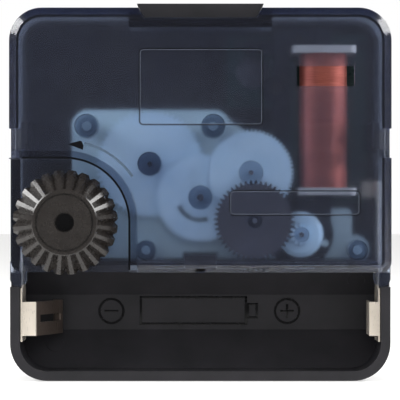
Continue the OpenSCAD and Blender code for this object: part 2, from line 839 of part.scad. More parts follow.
// Tubes inside the cover: sockets of the pegs and bearings of the arbors
module cover_tubes() {
    top = cover_under_z + sunk;
    rod(post_places[0], high_tube_r, peg_foot_z + fit_gap, top);
    rod(post_places[1], high_tube_r, peg_foot_z + fit_gap, top);
    rod(post_places[2], low_tube_r, peg_foot_z + fit_gap, top);
    rod(free_peg_place, low_tube_r, peg_foot_z + fit_gap, top);
    rod(third_axis, bearing_tube_r, third_z + wheel_t + run_gap, top);
    rod(hands_axis, bearing_tube_r, reducer_z + wheel_t + run_gap, top);
    rod(reducer_axis, bearing_tube_r, step_top_z + run_gap, top);
    rod(step_axis, slim_tube_r, step_top_z + run_gap, top);
    rod(rotor_axis, slim_tube_r, step_top_z + pinion_over + run_gap, top);
}

// Bores of the tubes and the hole for the setting shaft
module cover_bores() {
    for (place = concat(post_places, [free_peg_place]))
        rod(place, peg_r + fit_gap, peg_foot_z - past, peg_top_z + fit_gap);
    rod(third_axis, arbor_r + pivot_gap, third_z, third_top_z + fit_gap);
    rod(hands_axis, seconds_thin_r + pivot_gap, reducer_z, seconds_top_z + fit_gap);
    for (axis = [reducer_axis, step_axis, rotor_axis])
        rod(axis, arbor_r + pivot_gap, step_top_z, arbor_top_z + fit_gap);
    rod(knob_axis, setting_shaft_r + pivot_gap, pocket_low_z - past, pocket_z + past);
}

// Round-ended ears over the ends of the bay's side walls
module cover_ears() {
    both_sides()
        layer(ear_low_z, rim_z) {
            translate([right_x - ear_w, cover_low_y - ear_len + ear_w / 2])
                square([ear_w, ear_len - ear_w / 2]);
            translate([right_x - ear_w / 2, cover_low_y - ear_len + ear_w / 2])
                circle(ear_w / 2);
            translate([inner_x, cover_low_y - sunk])
                square([wall, cover_low_r + sunk]);
        }
}

// White plate between the hands' wheels and the train, with its pegs and bearings
module gear_plate() {
    color(white_plastic) upright() difference() {
        union() {
            layer(plate_z, plate_top_z) plate_outline();
            for (place = post_places)
                rod(place, spigot_r, plate_z - spigot_len, plate_top_z);
            for (place = concat(post_places, [free_peg_place])) {
                rod(place, peg_foot_r, plate_z, peg_foot_z);
                rod(place, peg_r, plate_z, peg_top_z);
            }
            for (axis = [reducer_axis, step_axis, rotor_axis])
                rod(axis, slim_boss_r, plate_z, plate_top_z + bearing_rise);
            for (turn = stator_pin_turns) {
                rod(stator_pin_place(turn), stator_collar_r, plate_z, stator_z);
                rod(stator_pin_place(turn), stator_pin_r, plate_z, core_z + 0.5);
            }
        }
        rod(hands_axis, seconds_shaft_r + pivot_gap, plate_z - past, plate_top_z + past);
        rod(third_axis, tip_radius(third_pinion_teeth, centre_module) + run_gap,
            plate_z - past, plate_top_z + past);
        for (axis = [reducer_axis, step_axis, rotor_axis])
            rod(axis, arbor_r + pivot_gap, arbor_low_z - fit_gap, plate_top_z + past);
    }
}

function stator_pin_place(turn) = rotor_axis + polar(stator_pin_reach, turn);

module plate_outline() {
    difference() {
        union() {
            soft_rect(plate_left_x, plate_low_y, plate_mid_x, plate_high_y, 2.4, 0.5);
            polygon([[plate_mid_x - 3, plate_low_y], [plate_right_x, plate_low_y],
                [plate_right_x, plate_slope_y], [plate_mid_x, plate_high_y - 1.6],
                [plate_mid_x - 3, plate_high_y - 1.6]]);
            soft_rect(plate_right_x - 3, plate_low_y, plate_arm_x, plate_arm_y, 1, 0.5);
            translate([post_places[2][0], post_places[2][1]])
                intersection() {
                    circle(2.2);
                    translate([-3, plate_low_y - post_places[2][1]]) square(6);
                }
        }
        translate(knob_axis) circle(plate_hollow_r);
        translate([-hook_half_w - run_gap, plate_low_y - past])
            square([2 * (hook_half_w + run_gap), partition_y + hook_t + run_gap
                - plate_low_y + past]);
    }
}

// Threaded neck that the dial is clamped on, with its bearing for the hour tube
module threaded_neck() {
    color(brass) upright() difference() {
        union() {
            rod(hands_axis, neck_r, -neck_len, front_t);
            rod(hands_axis, neck_root_r, 0, front_t);
            rod(hands_axis, neck_flange_r, front_t, front_t + neck_flange_t);
        }
        rod(hands_axis, neck_bore_r, -neck_len - past, front_t + past);
    }
}

// Negative contact: strip on the left wall, slotted spring leaf and foot to the board
module contact_negative() {
    color(nickel) upright() mirror([1, 0, 0]) {
        contact_strip(strip_end_y);
        // Leg down behind the partition
        block(strip_x, strip_end_y - foot_w, foot_z, strip_x + strip_t, strip_end_y, neck_high_z);
        difference() {
            bar_y(ribbon(leaf_path(), strip_t), leaf_y - leaf_w / 2, leaf_y + leaf_w / 2);
            block(leaf_tip_x - past, leaf_y - leaf_slot_w / 2, leaf_tip_z + 0.8,
                leaf_top_x, leaf_y + leaf_slot_w / 2, strip_high_z - 1);
        }
        // Foot along the hollow under the facet, and its tab up to the board
        block(strip_x - past, foot_y, foot_z, strip_x + strip_t, strip_end_y, foot_z + strip_t);
        block(-foot_end_x, foot_y, foot_z, strip_x, foot_y + foot_w, foot_z + strip_t);
        block(-foot_end_x, foot_y, foot_z,
            foot_w - foot_end_x, board_low_y + foot_w, foot_z + strip_t);
        block(-foot_end_x, board_low_y + foot_w - strip_t, foot_z,
            foot_w - foot_end_x, board_low_y + foot_w, board_z);
    }
}

// Path of the spring leaf: across the top, down the slope and round the curled tip
function leaf_path() = concat(
    [[strip_x + strip_t, strip_high_z - strip_t / 2], [leaf_top_x, strip_high_z - strip_t / 2]],
    [for (turn = [-20:20:120])
        [leaf_tip_x + curl_r, leaf_tip_z] + polar(curl_r, 180 + turn)]);

// Part of a contact that lies on a side wall of the bay and runs under the cover's ear
module contact_strip(end_y) {
    bar_x([[strip_low_y, strip_low_z], [strip_bay_y, strip_low_z], [strip_bay_y, neck_low_z],
        [end_y, neck_low_z], [end_y, neck_high_z], [strip_bay_y, neck_high_z],
        [strip_bay_y, strip_high_z], [strip_low_y, strip_high_z]],
        strip_x, strip_x + strip_t);
}

// Positive contact: strip on the right wall, folded lip and tab down to the board
module contact_positive() {
    end_y = board_low_y + 3.4;
    color(nickel) upright() {
        contact_strip(end_y);
        bar_y(ribbon([[strip_x + strip_t, strip_high_z - strip_t / 2],
            [lip_x, strip_high_z - strip_t / 2], [lip_x, lip_low_z]], strip_t),
            leaf_y - leaf_w / 2, leaf_y + leaf_w / 2);
        block(strip_x, end_y - tab_w, board_top_z, strip_x + strip_t, end_y, neck_high_z);
        block(board_right_x - 0.6, end_y - tab_w, board_top_z,
            strip_x + strip_t, end_y, board_top_z + strip_t);
    }
}

// L-shaped board under the coil and the top wall
module circuit_board() {
    color(board_green) upright() difference() {
        layer(board_z, board_top_z)
            polygon([[board_left_x, board_step_y], [board_step_x, board_step_y],
                [board_step_x, board_low_y], [board_right_x, board_low_y],
                [board_right_x, board_high_y], [board_left_x, board_high_y]]);
        for (place = board_foot_places)
            rod(place, board_pin_r + fit_gap, 0, case_t);
        for (place = [eye_place, core_pin_place])
            rod(place, eye_post_r + fit_gap, 0, case_t);
        for (place = coil_pin_places)
            rod(place, coil_pin_r + fit_gap, 0, case_t);
    }
}

// Black drop of resin over the chip
module chip_cap() {
    rise = (chip_r * chip_r - chip_h * chip_h) / (2 * chip_h);
    color(dark_plastic) upright()
        at(chip_place, board_top_z)
            intersection() {
                translate([0, 0, -rise]) sphere(r = chip_h + rise);
                cylinder(h = chip_h + past, r = chip_r);
            }
}

// Small round can with the quartz crystal, lying on the board
module crystal_can() {
    color(nickel) upright()
        translate([crystal_place[0], crystal_place[1], board_top_z + crystal_r])
            rotate([0, 90, 0]) {
                translate([0, 0, -crystal_len / 2]) cylinder(h = crystal_len, r = crystal_r);
                translate([0, 0, -crystal_len / 2 - 0.3]) cylinder(h = 0.3, r = crystal_r - 0.2);
            }
}

// Solder cones on the board
module solder_joints() {
    color(nickel) upright()
        for (place = solder_places)
            at(place, board_top_z)
                difference() {
                    cylinder(h = solder_h, r1 = solder_r, r2 = solder_r / 2);
                    translate([0, 0, -past]) cylinder(h = solder_h + 2 * past, r = coil_pin_r);
                }
}

// Bobbin: square barrel and two end flanges, hollow for the core
module coil_bobbin() {
    color(white_plastic) upright() difference() {
        union() {
            coil_box(barrel_w, barrel_h, coil_y - flange_t, coil_top_y + flange_t);
            coil_flange(coil_y - flange_t, flange_cut);
            coil_flange(coil_top_y, 0);
        }
        coil_box(core_w + 2 * fit_gap, steel_t + 2 * fit_gap,
            coil_y - flange_t - past, coil_top_y + flange_t + past);
        for (place = coil_pin_places)
            rod(place, coil_pin_r, 0, coil_z - flange_h / 2 + 2);
    }
}

module coil_box(width, height, y0, y1) {
    block(coil_x - width / 2, y0, coil_z - height / 2, coil_x + width / 2, y1, coil_z + height / 2);
}

module coil_flange(y, cut) {
    translate([coil_x, y + flange_t, coil_z])
        rotate([90, 0, 0])
            linear_extrude(flange_t)
                soft_rect(cut - flange_w / 2, -flange_h / 2, flange_w / 2, flange_h / 2, 1, 0.4);
}

// Winding of hair-thin copper wire, which reads as one smooth round body
module coil_winding() {
    color(copper) upright() difference() {
        translate([coil_x, coil_top_y, coil_z])
            rotate([90, 0, 0])
                cylinder(h = coil_len, r = coil_r);
        coil_box(barrel_w, barrel_h, coil_y - past, coil_top_y + past);
    }
}

// Core bar through the bobbin, lapped on the stator at both ends
module coil_core() {
    color(steel) upright()
        coil_box(core_w, steel_t, core_low_y, stator_high_y);
}

// Two pins from the bobbin down through the board
module coil_pins() {
    color(nickel) upright()
        for (place = coil_pin_places)
            rod(place, coil_pin_r, board_z - 0.3, coil_z - flange_h / 2 + 2);
}

// Stator: ring around the rotor, leg beside the coil, and laps under the core's ends
module stator_plate() {
    color(steel) upright() layer(stator_z, core_z) difference() {
        union() {
            intersection() {
                translate(rotor_axis) circle(stator_ring_r);
                translate([rotor_x - stator_ring_r, stator_low_y]) square(2 * stator_ring_r);
            }
            translate([leg_x - core_w / 2, rotor_y])
                square([core_w, stator_high_y - rotor_y]);
            translate([leg_x - core_w / 2, stator_high_y - core_w])
                square([coil_x + core_w - leg_x, core_w]);
            translate([coil_x - core_w / 2, rotor_y])
                square([core_w, coil_y - flange_t - 0.15 - rotor_y]);
            translate(eye_place) circle(eye_r);
        }
        translate(rotor_axis) circle(magnet_r + air_gap);
        translate(eye_place) circle(eye_pin_r + pivot_gap);
        translate(core_pin_place) circle(core_pin_r + pivot_gap);
        for (turn = stator_pin_turns)
            translate(stator_pin_place(turn)) circle(stator_pin_r + pivot_gap);
    }
}

// Arbor that stands in the gear plate and in a tube of the cover
module train_arbor(axis) {
    color(steel) upright() rod(axis, arbor_r, arbor_low_z, arbor_top_z);
}

module rotor_arbor() {
    train_arbor(rotor_axis);
}

module rotor_magnet() {
    color(dark_plastic) upright() difference() {
        rod(rotor_axis, magnet_r, magnet_z, magnet_z + magnet_h);
        rod(rotor_axis, rotor_sleeve_r, magnet_z - past, disc_z + past);
    }
}

// White disc on the magnet, with its sleeve through it
module rotor_disc() {
    color(white_plastic) upright() difference() {
        union() {
            rod(rotor_axis, rotor_sleeve_r, magnet_z, disc_z);
            rod(rotor_axis, disc_r, disc_z, disc_z + disc_t / 2);
            at(rotor_axis, disc_z + disc_t / 2)
                cylinder(h = disc_t / 2, r1 = disc_r, r2 = disc_r - 0.6);
        }
        rod(rotor_axis, arbor_r, magnet_z - past, step_z);
    }
}

module rotor_pinion() {
    color(white_plastic) upright()
        toothed(rotor_axis, disc_z + disc_t, step_top_z + pinion_over - disc_z - disc_t,
            rotor_teeth, step_module, rotor_phase, arbor_r);
}

module step_arbor() {
    train_arbor(step_axis);
}

module step_wheel() {
    color(dark_plastic) upright()
        toothed(step_axis, step_z, wheel_t, step_teeth, step_module, step_phase, arbor_r);
}

module step_pinion() {
    color(dark_plastic) upright()
        toothed(step_axis, reducer_z - pinion_over, step_z - reducer_z + pinion_over,
            step_pinion_teeth, reducer_module, step_phase, arbor_r);
}

module reducer_arbor() {
    train_arbor(reducer_axis);
}

module reducer_wheel() {
    color(white_plastic) upright()
        toothed(reducer_axis, reducer_z, wheel_t, reducer_teeth, reducer_module,
            reducer_phase, arbor_r);
}

module reducer_pinion() {
    color(white_plastic) upright()
        toothed(reducer_axis, seconds_z - pinion_over, reducer_z - seconds_z + pinion_over,
            reducer_pinion_teeth, seconds_module, reducer_phase, arbor_r);
}

// Arbor of the seconds hand, thin at both ends
module seconds_arbor() {
    color(steel) upright() {
        rod(hands_axis, seconds_seat_r, seconds_tip_z, minute_tip_z);
        rod(hands_axis, seconds_shaft_r, minute_tip_z - 0.2, plate_top_z + 0.2);
        rod(hands_axis, seconds_thin_r, plate_top_z, seconds_top_z);
    }
}

// Seconds wheel with the curved slot that marks it
module seconds_wheel() {
    slot_from = 200;
    slot_to = 290;
    color(white_plastic) upright() difference() {
        toothed(hands_axis, seconds_z, wheel_t, seconds_teeth, seconds_module,
            seconds_phase, seconds_thin_r);
        layer(seconds_z - past, reducer_z)
            polygon(concat(
                [for (turn = [slot_from:7.5:slot_to]) polar(3.7, turn)],
                [for (turn = [slot_to:-7.5:slot_from]) polar(3, turn)]));
    }
}

module seconds_pinion() {
    color(white_plastic) upright()
        toothed(hands_axis, third_z - pinion_over, seconds_z - third_z + pinion_over,
            seconds_pinion_teeth, third_module, seconds_phase, seconds_thin_r);
}

module third_arbor() {
    color(steel) upright() rod(third_axis, arbor_r, third_low_z, third_top_z);
}

module third_wheel() {
    color(white_plastic) upright()
        toothed(third_axis, third_z, wheel_t, third_teeth, third_module, third_phase, arbor_r);
}

module third_pinion() {
    color(white_plastic) upright()
        toothed(third_axis, centre_z - pinion_over, third_z - centre_z + pinion_over,
            third_pinion_teeth, centre_module, third_phase, arbor_r);
}

// Centre wheel, which slips on the minute tube when the hands are set
module centre_wheel() {
    color(white_plastic) upright()
        toothed(hands_axis, centre_z, wheel_t, centre_teeth, centre_module,
            centre_phase, minute_thin_r + shaft_gap);
}

// Tube of the minute hand, with two flats at its end
module minute_tube() {
    color(brass) upright() difference() {
        union() {
            rod(hands_axis, minute_seat_r, minute_tip_z, setting_z - 0.2);
            rod(hands_axis, minute_thin_r, setting_z - 0.2, plate_z - 0.2);
        }
        rod(hands_axis, minute_bore_r, minute_tip_z - past, plate_z);
        both_sides()
            block(minute_flat / 2, -neck_r, minute_tip_z - past,
                neck_r, neck_r, minute_tip_z + seat_len);
    }
}

module cannon_pinion() {
    color(brass) upright()
        toothed(hands_axis, setting_z - 0.1, centre_z - 0.3 - setting_z + 0.1,
            cannon_teeth, hand_module, cannon_phase, minute_thin_r);
}

// Three-fingered spring that presses on the centre wheel
module clutch_spring() {
    color(nickel) upright() layer(spring_z, spring_z + spring_t) difference() {
        union() {
            circle(minute_thin_r + 0.7);
            for (turn = [30, 150, 270])
                rotate(turn) translate([0, -0.5]) square([3.4, 1]);
        }
        circle(minute_thin_r);
    }
}

module intermediate_wheel() {
    color(white_plastic) upright()
        toothed(intermediate_axis, setting_z, wheel_t, intermediate_teeth, hand_module,
            intermediate_phase, intermediate_pin_r + pivot_gap);
}

module intermediate_pinion() {
    color(white_plastic) upright()
        toothed(intermediate_axis, hour_z - pinion_over, setting_z - hour_z + pinion_over,
            intermediate_pinion_teeth, hour_module, intermediate_phase,
            intermediate_pin_r + pivot_gap);
}

module hour_wheel() {
    color(white_plastic) upright()
        toothed(hands_axis, hour_z, wheel_t, hour_teeth, hour_module, hour_phase, hour_run_r);
}

// Tube of the hour hand, which turns in the neck
module hour_tube() {
    color(white_plastic) upright() difference() {
        union() {
            rod(hands_axis, hour_run_r, hour_tip_z + seat_len, hour_z + wheel_t);
            rod(hands_axis, hour_seat_r, hour_tip_z, hour_z);
        }
        rod(hands_axis, hour_bore_r, hour_tip_z - past, setting_z);
    }
}

module setting_wheel() {
    color(white_plastic) upright()
        toothed(knob_axis, setting_z, wheel_t, setting_teeth, hand_module,
            setting_phase, setting_shaft_r);
}

// Shaft of the knob, with one flat at the end that the knob sits on
module setting_shaft() {
    color(white_plastic) upright() {
        rod(knob_axis, setting_shaft_r, front_t / 2 + 0.1, stem_z);
        layer(stem_z, shaft_top_z) flat_shaft_outline();
    }
}

module flat_shaft_outline() {
    translate(knob_axis)
        intersection() {
            circle(setting_shaft_r);
            rotate(20)
                translate([-setting_shaft_r, setting_shaft_r - shaft_flat])
                    square([2 * setting_shaft_r, shaft_flat]);
        }
}

// Knob with a hub, a groove round it and radial grips on a cone
module setting_knob() {
    slope = atan((knob_top_z - knob_edge_z + grip_deep - grip_depth) / (knob_r - knob_ring_r));
    color(knob_brown) upright() difference() {
        union() {
            rod(knob_axis, stem_r, stem_z, knob_z);
            rod(knob_axis, knob_r, knob_z, knob_edge_z);
            at(knob_axis, knob_edge_z)
                cylinder(h = knob_top_z - knob_edge_z, r1 = knob_r, r2 = knob_ring_r);
        }
        layer(stem_z - past, shaft_top_z) flat_shaft_outline();
        rod(knob_axis, knob_hole_r, shaft_top_z, knob_top_z + past);
        at(knob_axis, knob_top_z - knob_groove_d)
            difference() {
                cylinder(h = past, r = knob_hub_r + knob_groove_w);
                translate([0, 0, -past]) cylinder(h = 3 * past, r = knob_hub_r);
            }
        for (k = [0:knob_teeth - 1])
            at(knob_axis, 0)
                rotate([0, 0, k * 360 / knob_teeth]) {
                    translate([knob_ring_r, 0, knob_top_z - grip_depth])
                        rotate([0, slope, 0])
                            rotate([45, 0, 0])
                                translate([-0.2, 0, 0]) cube([knob_r, 3, 3]);
                    translate([knob_r - grip_side, 0, knob_z - past])
                        rotate([0, 0, -45]) cube([3, 3, knob_h + 2 * past]);
                }
    }
}

front_housing();
rear_cover();
gear_plate();
threaded_neck();
contact_negative();
contact_positive();
circuit_board();
chip_cap();
crystal_can();
solder_joints();
coil_bobbin();
coil_winding();
coil_core();
coil_pins();
stator_plate();
rotor_arbor();
rotor_magnet();
rotor_disc();
rotor_pinion();
step_arbor();
step_wheel();
step_pinion();
reducer_arbor();
reducer_wheel();
reducer_pinion();
seconds_arbor();
seconds_wheel();
seconds_pinion();
third_arbor();
third_wheel();
third_pinion();
centre_wheel();
minute_tube();
cannon_pinion();
clutch_spring();
intermediate_wheel();
intermediate_pinion();
hour_wheel();
hour_tube();
setting_wheel();
setting_shaft();
setting_knob();
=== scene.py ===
# %% [markdown]
# # A sweep clock movement, dressed for the studio
# The CAD solids come in as a fixed frame and are never moved. This lesson gives each of
# them a finish made of nodes, adds the fine details that are too small for the solids,
# and sets up the camera, the floor and the light. Each step says what the real piece is
# and why it is made in this way.

# %% Load the frame and keep its box
import json
from math import cos, radians, sin, tan, tau

import bmesh
import bpy
from mathutils import Matrix, Vector

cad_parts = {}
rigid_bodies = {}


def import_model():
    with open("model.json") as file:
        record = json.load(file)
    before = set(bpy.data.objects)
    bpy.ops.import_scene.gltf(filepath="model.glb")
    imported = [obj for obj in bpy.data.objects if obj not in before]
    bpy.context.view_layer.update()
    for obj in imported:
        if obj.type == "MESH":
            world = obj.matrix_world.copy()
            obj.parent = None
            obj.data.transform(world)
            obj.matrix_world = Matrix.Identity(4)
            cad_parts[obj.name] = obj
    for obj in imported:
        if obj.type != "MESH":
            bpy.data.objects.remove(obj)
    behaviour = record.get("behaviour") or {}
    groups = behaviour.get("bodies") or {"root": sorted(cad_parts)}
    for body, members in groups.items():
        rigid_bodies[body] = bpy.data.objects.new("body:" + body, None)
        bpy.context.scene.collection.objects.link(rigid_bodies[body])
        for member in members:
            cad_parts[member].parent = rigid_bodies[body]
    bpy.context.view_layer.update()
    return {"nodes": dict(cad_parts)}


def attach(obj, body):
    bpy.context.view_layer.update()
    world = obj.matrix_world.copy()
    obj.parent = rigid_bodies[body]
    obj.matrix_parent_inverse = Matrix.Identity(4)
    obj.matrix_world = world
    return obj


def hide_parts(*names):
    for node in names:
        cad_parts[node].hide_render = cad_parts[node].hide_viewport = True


for spare in list(bpy.data.objects):
    bpy.data.objects.remove(spare)
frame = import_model()
nodes_in = frame["nodes"]

# %% [markdown]
# The photograph was measured in millimetres on the movement's back: x to the right,
# y up, and z from the dial face towards the viewer. The frame stands upright with z of
# the drawing along its own -Y. One matrix carries a mesh from the drawing to the frame,
# so every detail below can be given with the numbers that were measured.

# %% Turn drawing millimetres into frame metres
MM = 0.001
TO_FRAME = Matrix.Scale(MM, 4) @ Matrix.Rotation(radians(90), 4, "X")
HANDS = Vector((0, 0, 0))
KNOB = Vector((-19.8, -3.65, 0))
COIL_X, COIL_Z, COIL_R = 18.3, 8.5, 3.55
BACK_Z = 16.0
BAY_FLOOR_Z, BAY_Y, BAY_FLAT, BAY_SLOPE = 1.4, -17.4, 2.65, radians(39.65)


def spot(x, y, z):
    """A point of the drawing, in the frame."""
    return TO_FRAME @ Vector((x, y, z))


print("back of the cover in the frame:", spot(0, 0, BACK_Z))

# %% [markdown]
# A new piece is a bmesh until it is finished. Closing it turns it into the frame,
# points all its faces outwards, shades it smooth up to its sharp edges, and hands it to
# the body that it moves with.

# %% Close a bmesh into a piece
SHARP = radians(32)


def close(name, bm, finish_of, body):
    """Makes the finished object out of a bmesh drawn in millimetres."""
    bmesh.ops.transform(bm, matrix=TO_FRAME, verts=bm.verts)
    bmesh.ops.recalc_face_normals(bm, faces=bm.faces)
    mesh = bpy.data.meshes.new(name)
    bm.to_mesh(mesh)
    bm.free()
    mesh.shade_smooth()
    mesh.set_sharp_from_angle(angle=SHARP)
    mesh.materials.append(finish_of)
    made = bpy.data.objects.new(name, mesh)
    bpy.context.scene.collection.objects.link(made)
    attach(made, body)
    print(name, "faces:", len(mesh.polygons))
    return made


# %% [markdown]
# ## Finishes
# Colours are read off the photograph as 0 to 255 and turned into the linear values
# that the shader works with. A number that is the same all over a piece goes straight
# onto the shader's socket; only what varies over the surface gets nodes.

# %% Colours as the eye reads them
def paint(red, green, blue):
    """A colour written as on a screen, in the shader's linear values."""
    def linear(v):
        v = v / 255
        return v / 12.92 if v <= 0.04045 else ((v + 0.055) / 1.055) ** 2.4
    return (linear(red), linear(green), linear(blue), 1)


print("mid grey in linear light:", round(paint(128, 128, 128)[0], 3))

# %% [markdown]
# Every finish is built on the same three steps: a place on the object, a noise read at
# that place, and something that the noise drives. Small helpers keep these steps short.
# The noise is given by the size of its patches in millimetres, since that is what one
# can see and measure on the real thing.

# %% Helpers for patterns
def new_finish(name):
    """An empty node material: its tree and its shader."""
    mat = bpy.data.materials.new(name)
    mat.use_nodes = True
    return mat, mat.node_tree, mat.node_tree.nodes["Principled BSDF"]


def stretched_place(tree, stretch=(1, 1, 1)):
    """Object coordinates, stretched so that a pattern runs longer one way."""
    where = tree.nodes.new("ShaderNodeTexCoord")
    mapping = tree.nodes.new("ShaderNodeMapping")
    mapping.inputs["Scale"].default_value = stretch
    tree.links.new(where.outputs["Object"], mapping.inputs["Vector"])
    return mapping.outputs["Vector"]


def patches(tree, place, size_mm, detail=3, roughness=0.55):
    """Noise with patches of about that size."""
    noise = tree.nodes.new("ShaderNodeTexNoise")
    noise.inputs["Scale"].default_value = 1 / (size_mm * MM)
    noise.inputs["Detail"].default_value = detail
    noise.inputs["Roughness"].default_value = roughness
    tree.links.new(place, noise.inputs["Vector"])
    return noise.outputs["Fac"]


def between(tree, value, low, high, from_low=0.3, from_high=0.7):
    """Spreads a stretch of values, by default the middle of a noise, over low to high."""
    span = tree.nodes.new("ShaderNodeMapRange")
    span.inputs["From Min"].default_value = from_low
    span.inputs["From Max"].default_value = from_high
    span.inputs["To Min"].default_value = low
    span.inputs["To Max"].default_value = high
    tree.links.new(value, span.inputs["Value"])
    return span.outputs["Result"]


def relief(tree, height, depth_mm, strength=1.0, under=None):
    """Turns a height pattern into bumps of that depth."""
    bump = tree.nodes.new("ShaderNodeBump")
    bump.inputs["Strength"].default_value = strength
    bump.inputs["Distance"].default_value = depth_mm * MM
    tree.links.new(height, bump.inputs["Height"])
    if under is not None:
        tree.links.new(under, bump.inputs["Normal"])
    return bump.outputs["Normal"]


print("pattern helpers ready")

# %% [markdown]
# A blend takes two things of one kind and a value that says how far to go from the
# first to the second. Colours, numbers and whole shaders blend in the same way.

# %% Helpers that blend
def blended(tree, kind, value, first, second):
    """Blends two things of one kind, each given as it is or as a socket."""
    mix = tree.nodes.new("ShaderNodeMix")
    mix.data_type = {"VALUE": "FLOAT", "RGBA": "RGBA"}[kind]
    tree.links.new(value, mix.inputs["Factor"])
    for name, given in (("A", first), ("B", second)):
        wanted = [s for s in mix.inputs if s.name == name and s.type == kind][0]
        if isinstance(given, bpy.types.NodeSocket):
            tree.links.new(given, wanted)
        else:
            wanted.default_value = given
    return [s for s in mix.outputs if s.type == kind][0]


def two_colours(tree, value, first, second):
    """Blends from the first colour to the second as the value goes from 0 to 1."""
    return blended(tree, "RGBA", value, first, second)


def two_numbers(tree, value, first, second):
    """Blends from the first number to the second in the same way."""
    return blended(tree, "VALUE", value, first, second)


def two_shaders(tree, value, first, second):
    """Blends from the first shader to the second in the same way."""
    mix = tree.nodes.new("ShaderNodeMixShader")
    for given, wanted in zip((value, first, second), mix.inputs):
        tree.links.new(given, wanted)
    return mix.outputs[0]


print("blend helpers ready")

# %% [markdown]
# ### Moulded plastic
# The housing, the gear plate, the wheels and the knob are injection moulded. The tool
# leaves a fine grain, the melt leaves faint clouds and shallow sinks, and handling
# leaves small shiny rubbed places. Four noises of different size make that: clouds of a
# few millimetres for the colour, rubbed patches for the gloss, and a fine grain over
# slow sinks for the relief.

# %% The moulded plastic finish
def moulded(name, colour, clouded, gloss, grain_mm=0.18, grain_depth=0.006,
            cloud_mm=5.0, specular=0.5):
    """Moulded plastic. gloss is the roughness of its shiniest and dullest patches."""
    mat, tree, shader = new_finish(name)
    place = stretched_place(tree)
    clouds = between(tree, patches(tree, place, cloud_mm, 4), 0, 1)
    tree.links.new(two_colours(tree, clouds, colour, clouded), shader.inputs["Base Color"])
    rubbed = patches(tree, place, cloud_mm * 0.35, 5, 0.65)
    tree.links.new(between(tree, rubbed, gloss[0], gloss[1]), shader.inputs["Roughness"])
    grain = patches(tree, place, grain_mm, 2)
    sink = patches(tree, place, cloud_mm * 1.6, 1)
    wavy = relief(tree, sink, 0.03, 0.5)
    tree.links.new(relief(tree, grain, grain_depth, 1.0, wavy), shader.inputs["Normal"])
    shader.inputs["Specular IOR Level"].default_value = specular
    return mat


black_satin = moulded("black satin plastic", paint(34, 34, 36), paint(41, 40, 43),
                      (0.34, 0.5), specular=0.12)
black_polish = moulded("black polished marks", paint(8, 8, 10), paint(13, 13, 15),
                       (0.2, 0.32), grain_depth=0.002, specular=0.2)
plate_white = moulded("pale plate plastic", paint(174, 196, 204), paint(188, 206, 212),
                      (0.38, 0.52), grain_mm=0.3)
wheel_milk = moulded("milky wheel plastic", paint(194, 220, 236), paint(206, 228, 242),
                     (0.3, 0.42), cloud_mm=3.0)
wheel_dark = moulded("dark wheel plastic", paint(58, 56, 62), paint(68, 66, 72),
                     (0.35, 0.5), cloud_mm=3.0)
bobbin_clear = moulded("clear nylon of the bobbin", paint(162, 158, 156),
                       paint(174, 170, 166), (0.3, 0.45), cloud_mm=3.0)
knob_brown = moulded("brown black knob plastic", paint(28, 25, 24), paint(35, 32, 30),
                     (0.2, 0.32), grain_mm=0.12, grain_depth=0.005, cloud_mm=2.5)
print("moulded finishes:", black_satin.name, plate_white.name, wheel_milk.name)

# %% [markdown]
# ### Clear smoky plastic
# The cover is clear plastic dyed a smoky blue. Dye works by depth: a thin wall only
# tints what is behind it, while tubes and side walls seen end on turn nearly black. So
# the dye is a volume that absorbs light along its way, and the surfaces stay clear.
# They are slightly frosted, which softens what lies deep inside, and a touch of blue
# sheen stands for the light that fine moulding marks scatter. Cycles finds lamps
# poorly through bent light, so for the rays that look for lamps a transparent shader
# steps in and the wheels inside are lit.

# %% The smoky cover finish
FROST = (0.17, 0.23)
SHEEN, SHEEN_TINT = 0.02, (0.25, 0.35, 1, 1)
CLEAR_IOR, LAMP_LIGHT = 1.49, 0.92


def smoky_clear(name, hazes, dye, dye_per_metre):
    """Clear dyed plastic that lets the lamps light what is inside."""
    mat, tree, shader = new_finish(name)
    place = stretched_place(tree)
    clouds = between(tree, patches(tree, place, 9.0, 3), 0, 1)
    haze = two_colours(tree, clouds, hazes[0], hazes[1])
    tree.links.new(haze, shader.inputs["Base Color"])
    rubbed = patches(tree, place, 2.4, 5, 0.65)
    tree.links.new(between(tree, rubbed, *FROST), shader.inputs["Roughness"])
    flow = patches(tree, place, 14.0, 1)
    tree.links.new(relief(tree, flow, 0.03, 0.4), shader.inputs["Normal"])
    shader.inputs["Transmission Weight"].default_value = 0.999
    shader.inputs["Sheen Weight"].default_value = SHEEN
    shader.inputs["Sheen Roughness"].default_value = 0.9
    shader.inputs["Sheen Tint"].default_value = SHEEN_TINT
    shader.inputs["IOR"].default_value = CLEAR_IOR
    depth = tree.nodes.new("ShaderNodeVolumeAbsorption")
    depth.inputs["Color"].default_value = dye
    depth.inputs["Density"].default_value = dye_per_metre
    clear = tree.nodes.new("ShaderNodeBsdfTransparent")
    clear.inputs["Color"].default_value = (LAMP_LIGHT, LAMP_LIGHT, LAMP_LIGHT, 1)
    path = tree.nodes.new("ShaderNodeLightPath")
    surface = two_shaders(tree, path.outputs["Is Shadow Ray"], shader.outputs[0],
                          clear.outputs[0])
    out = tree.nodes["Material Output"]
    tree.links.new(surface, out.inputs["Surface"])
    tree.links.new(depth.outputs[0], out.inputs["Volume"])
    return mat


smoke = smoky_clear("smoky clear plastic", (paint(228, 236, 252), paint(238, 244, 254)),
                    dye=(0.1, 0.2, 0.34, 1), dye_per_metre=270)
print("cover finish:", smoke.name)

# %% [markdown]
# ### Metals
# Turned brass, nickel strip, steel arbors and pressed motor sheet differ in colour and
# in the way their fine marks run. Marks are a noise squeezed along one axis: across the
# axis it changes quickly, along it slowly. The same marks move the gloss and the
# surface, because a scratch is both duller and lower than what is around it. Plated
# strip is dulled by its film, so it counts as bare metal only in part.

